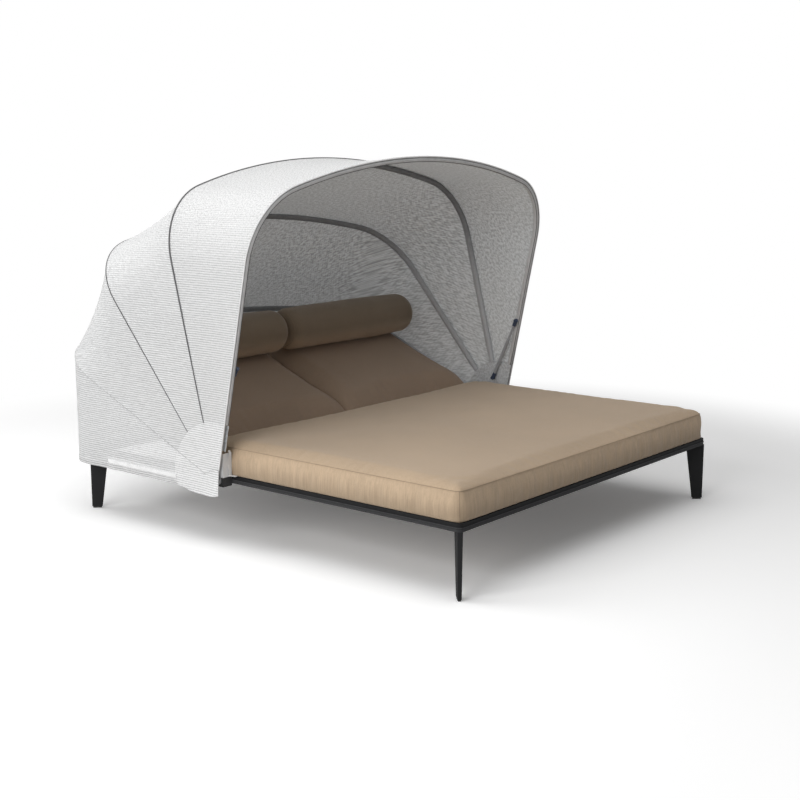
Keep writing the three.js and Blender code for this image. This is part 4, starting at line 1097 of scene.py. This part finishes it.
def makeCushion(name, spec, body, place, node, finish):
    cushion = boxGrid(name, (spec["width"], spec["length"], spec["thickness"]), spec["cuts"])
    seams = seamRings(cushion, spec)
    shapeCushion(cushion, spec)
    verts = cushion.data.vertices
    lines = []
    if spec["topCord"]:
        lines.append([verts[i].co.copy() for i in ringOrder(cushion, seams["top"])])
    for side, end in ((-1, -1), (-1, 1), (1, -1), (1, 1)):
        line = [verts[i].co.copy() for i in seams["upright"]]
        line = [p for p in line if p.x * side > 0 and p.y * end > 0]
        lines.append(sorted(line, key=lambda p: p.z))
    base = [v.index for v in verts if v.co.z < 0.0005]
    easeCloth(cushion, sorted(set(seams["top"] + seams["low"] + seams["upright"] + base)))
    refine(cushion)
    puckerBorder(cushion, spec)
    toEnd = Matrix.Translation(Vector((0, spec["length"] / 2, 0)))
    toPlace = Matrix.Translation(Vector(place)) @ Matrix.Rotation(spec["slope"], 4, "X") @ toEnd
    cushion.data.transform(toPlace)
    smooth(cushion, 70)
    dress(cushion, body, finish)
    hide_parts(node)
    for k, line in enumerate(lines):
        points = [toPlace @ p for p in line]
        closed = spec["topCord"] and k == 0
        cord = cordAlong(f"{name}Seam{k + 1}", points, spec["cord"], closed=closed, sides=2)
        dress(cord, body, sandThread)
    return cushion


seat = {
    "width": 1.806,
    "length": 1.256,
    "thickness": 0.120,
    "corner": 0.036,
    "draw": 0.0065,
    "lowDraw": -0.0025,
    "seamDrop": 0.011,
    "shoulder": 0.070,
    "roll": 3.0,
    "crown": 0.014,
    "rollLength": 0.1,
    "rollDrop": 0.0,
    "lean": 0.0,
    "slope": 0.0,
    "gather": 0.0009,
    "cuts": (99, 69, 7),
    "cord": 0.0008,
    "topCord": True,
    "place": (0.0, -1.118427, 0.2775),
}
seatCushion = makeCushion("seatCushion", seat, "frame", seat["place"], "seat_cushion", sand)

back = {
    "width": 0.9010,
    "length": 0.700,
    "thickness": 0.120,
    "corner": 0.034,
    "draw": 0.003,
    "lowDraw": 0.006,
    "seamDrop": 0.034,
    "shoulder": 0.105,
    "roll": 2.1,
    "crown": 0.012,
    "rollLength": 0.110,
    "rollDrop": 0.024,
    "lean": radians(22),
    "slope": radians(22),
    "gather": 0.0006,
    "cuts": (57, 45, 7),
    "cord": 0.0007,
    "topCord": False,
    "hinge": (0.45235, 0.156573, 0.2645),
    "start": (0, 0.005, 0.0128),  # its lower end from the hinge, along the slope and up from it
}
for side, label in ((-1, "Left"), (1, "Right")):
    hinge = Vector((side * back["hinge"][0], back["hinge"][1], back["hinge"][2]))
    start = hinge + Matrix.Rotation(back["slope"], 3, "X") @ Vector(back["start"])
    body, node = f"backrest_{label.lower()}", f"back_cushion_{label.lower()}"
    cushion = makeCushion(f"backCushion{label}", back, body, start, node, sandPaintedShade)
print("stage: cushions filled")

bolster = {
    "length": 0.894,
    "outward": 0.011,
    "edge": 0.052,
    "belly": 0.003,
    "tuck": 0.002,
    "seamShare": 0.22,  # the seams' place on the rounded ends
    "seam": 0.0010,
    "seamRise": 0.0004,
    "capRings": (0.12, 0.45, 0.8),
    "uneven": 0.0022,
    "fineUneven": 0.0008,
    "cell": (0.0115, 0.0145),
    "sides": 56,
    "steps": 60,
    "edgeSteps": 8,
    "seamSteps": 48,
}


def closeEnds():
    bpy.ops.mesh.select_mode(type="VERT")
    bpy.ops.mesh.select_all(action="DESELECT")
    bpy.ops.mesh.select_non_manifold()
    bpy.ops.mesh.edge_face_add()


def makeBolster(name, side):
    low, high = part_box(f"bolster_{name.lower()}")
    centre = (low + high) / 2 + Vector((side * bolster["outward"], 0, 0))
    radius = (high.z - low.z) / 2
    half, edge, belly = bolster["length"] / 2, bolster["edge"], bolster["belly"]
    shoulder = radius - belly - edge
    cap = []
    for k in range(bolster["edgeSteps"] + 1):
        a = pi / 2 * k / bolster["edgeSteps"]
        cap.append((-half + edge - edge * cos(a), shoulder + edge * sin(a)))
    cap = [(-half + bolster["tuck"] * (1 - c), cap[0][1] * c) for c in bolster["capRings"]] + cap
    middle = []
    for k in range(1, bolster["steps"]):
        t = k / bolster["steps"]
        middle.append((-half + edge + (2 * half - 2 * edge) * t, radius - belly * (2 * t - 1) ** 2))
    rings = []
    for x, r in cap + middle + [(-x, r) for x, r in reversed(cap)]:
        ring = []
        for a in fullTurn(bolster["sides"]):
            y, z = r * cos(a), r * sin(a)
            ease = noise.noise(Vector((x * 5 + side * 7, y * 14, z * 14))) * bolster["uneven"]
            ease += noise.noise(Vector((x * 22, y * 9, z * 9 + side))) * bolster["fineUneven"]
            fit = 1 + (ease - 0.001) / radius * min(1.0, r / radius)
            ring.append(centre + Vector((x, y * fit, z * fit)))
        rings.append(ring)
    piece = fromGrid(f"bolster{name}", rings, evenCoords(rings, *bolster["cell"]), closed=True)
    editWhole(piece, closeEnds)
    faceAwayFrom(piece, centre)
    refine(piece)
    smooth(piece, 60)
    body = f"backrest_{name.lower()}"
    dress(piece, body, sandBolster)
    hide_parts(f"bolster_{name.lower()}")
    seamR = shoulder + edge * sin(acos(1 - bolster["seamShare"])) + bolster["seamRise"]
    ring = [(seamR * cos(a), seamR * sin(a)) for a in fullTurn(bolster["seamSteps"])]
    for end in (-1, 1):
        points = [centre + Vector((end * (half - edge * bolster["seamShare"]), y, z)) for y, z in ring]
        label = f"bolster{name}Seam{'Inner' if end * side < 0 else 'Outer'}"
        seam = cordAlong(label, points, bolster["seam"], closed=True, sides=2)
        dress(seam, body, sandThread)


makeBolster("Left", -1)
makeBolster("Right", 1)
print("stage: bolsters stuffed")

# the strap on each bracket's front, with its foot on the rail
strapLook = {
    "x": 0.9260,
    "half": 0.0052,
    "thickness": 0.0012,
    "top": 0.384,
    "low": 0.2835,
    "front": -0.0160,
    "foot": 0.034,
    "slack": 0.0045,
    "sway": 0.0025,
    "steps": 18,
    "footSteps": 6,
    "footDrop": 0.0010,
    "cell": (0.005, 0.006),
}


def makeStrap(name, side):
    top, low, steps = strapLook["top"], strapLook["low"], strapLook["steps"]
    line = []
    for k in range(steps + 1):
        t = k / steps
        slack = strapLook["slack"] * sin(t * 9.0) * sin(pi * t)
        line.append((strapLook["front"] - slack - strapLook["thickness"], top + (low - top) * t))
    for k in range(1, strapLook["footSteps"] + 1):
        t = k / strapLook["footSteps"]
        a = pi / 2 * min(1.0, t * 1.6)
        line.append((line[steps][0] - strapLook["foot"] * t, low - strapLook["footDrop"] * sin(a)))
    rows = []
    for i, (y, z) in enumerate(line):
        sway = strapLook["sway"] * sin(i * 0.9)
        places = [side * (strapLook["x"] + s * strapLook["half"]) + sway for s in (-1, -0.33, 0.33, 1)]
        rows.append([Vector((x, y, z)) for x in places])
    strap = fromGrid(name, rows, evenCoords(rows, *strapLook["cell"]))
    behind = Vector((side * strapLook["x"], 0.1, 0.25))
    finishSheet(strap, behind, strapLook["thickness"], hemGrey, inward=False)
    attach(strap, "frame")
    return strap


straps = {"right": makeStrap("bracketStrapRight", 1), "left": makeStrap("bracketStrapLeft", -1)}

studio = {
    "key": {"place": (-6.2, -0.6, 2.6), "aim": (0, -0.2, 0.5), "size": (4.5, 3.2), "power": 196},
    "back": {"place": (-4.5, 4.0, 3.2), "aim": (0, -0.2, 0.5), "size": (4.0, 3.0), "power": 36},
    "high": {"place": (-2.6, 4.4, 5.6), "aim": (0, -0.2, 0.3), "size": (4.0, 4.0), "power": 142},
    "top": {"place": (-0.6, -0.8, 5.2), "aim": (0, -0.2, 0.3), "size": (5.0, 5.0), "power": 128},
    "world": 0.13,
    "floor": (0.80, 0.80, 0.80),
    "floorSeen": (1.22, 1.22, 1.22),  # what the camera sees, so that open floor is white
    "haze": 0.10,  # a little white over the whole floor
    "fadeFrom": 2.2,
    "fadeTo": 3.4,
}
white = (1, 1, 1, 1)

for name in ("key", "back", "high", "top"):
    spec = studio[name]
    lamp = bpy.data.lights.new(f"{name}Lamp", "AREA")
    lamp.shape = "RECTANGLE"
    lamp.size, lamp.size_y = spec["size"]
    lamp.energy = spec["power"]
    holder = addObject(f"{name}Lamp", lamp)
    holder.location = spec["place"]
    aim = Vector(spec["aim"]) - Vector(spec["place"])
    holder.rotation_euler = aim.to_track_quat("-Z", "Y").to_euler()

world = bpy.data.worlds.new("studioWorld")
bpy.context.scene.world = world
world.use_nodes = True
world.node_tree.nodes.clear()
sky = Board(world.node_tree)
strengths = (studio["world"], 1.0)
soft, plain = [sky.add("ShaderNodeBackground", None, {"Color": white, "Strength": k}) for k in strengths]
shown = sky.add("ShaderNodeMixShader", None, {0: sky.seenRays(), 1: soft, 2: plain})
sky.add("ShaderNodeOutputWorld", None, {0: shown})

startClean()
bpy.ops.mesh.primitive_plane_add(size=60, location=(0, 0, 0))
floor = bpy.context.object
floor.name = "studioFloor"
ground = Finish("paleFloor", studio["floor"], 0.95, Specular_IOR_Level=0.1)
seen = ground.seenRays()
x, y, _ = ground.parts(ground.place())
far = ground.step(ground.maths("SQRT", x * x + y * y), studio["fadeFrom"], studio["fadeTo"])
pale = ground.tone(ground.cloudy(ground.place(), 3.0, 3.0), 0.985, 1.015)
ground.plug("Base Color", ground.blendColors(seen, pale, studio["floorSeen"]))
glow = ground.add("ShaderNodeEmission", None, {"Color": white, "Strength": 1.0})
haze = seen * (far * (1 - studio["haze"]) + studio["haze"])
shader = Wire(ground, ground.shader.outputs[0])
mixed = ground.add("ShaderNodeMixShader", None, {0: haze, 1: shader, 2: glow})
ground.tree.links.new(mixed.socket, ground.tree.nodes["Material Output"].inputs[0])
giveMaterials(floor, ground.material)

view = {"place": (-4.523, -3.790, 1.545), "turn": (79.452, 0.0, -50.962), "lens": 61.33, "sensor": 36.0}
eye = bpy.data.cameras.new("photoCamera")
eye.sensor_width = view["sensor"]
eye.lens = view["lens"]
viewer = addObject("photoCamera", eye)
viewer.location = view["place"]
viewer.rotation_euler = [radians(a) for a in view["turn"]]
bpy.context.scene.camera = viewer
bpy.context.scene.view_settings.view_transform = "Standard"
print("stage: studio lit")
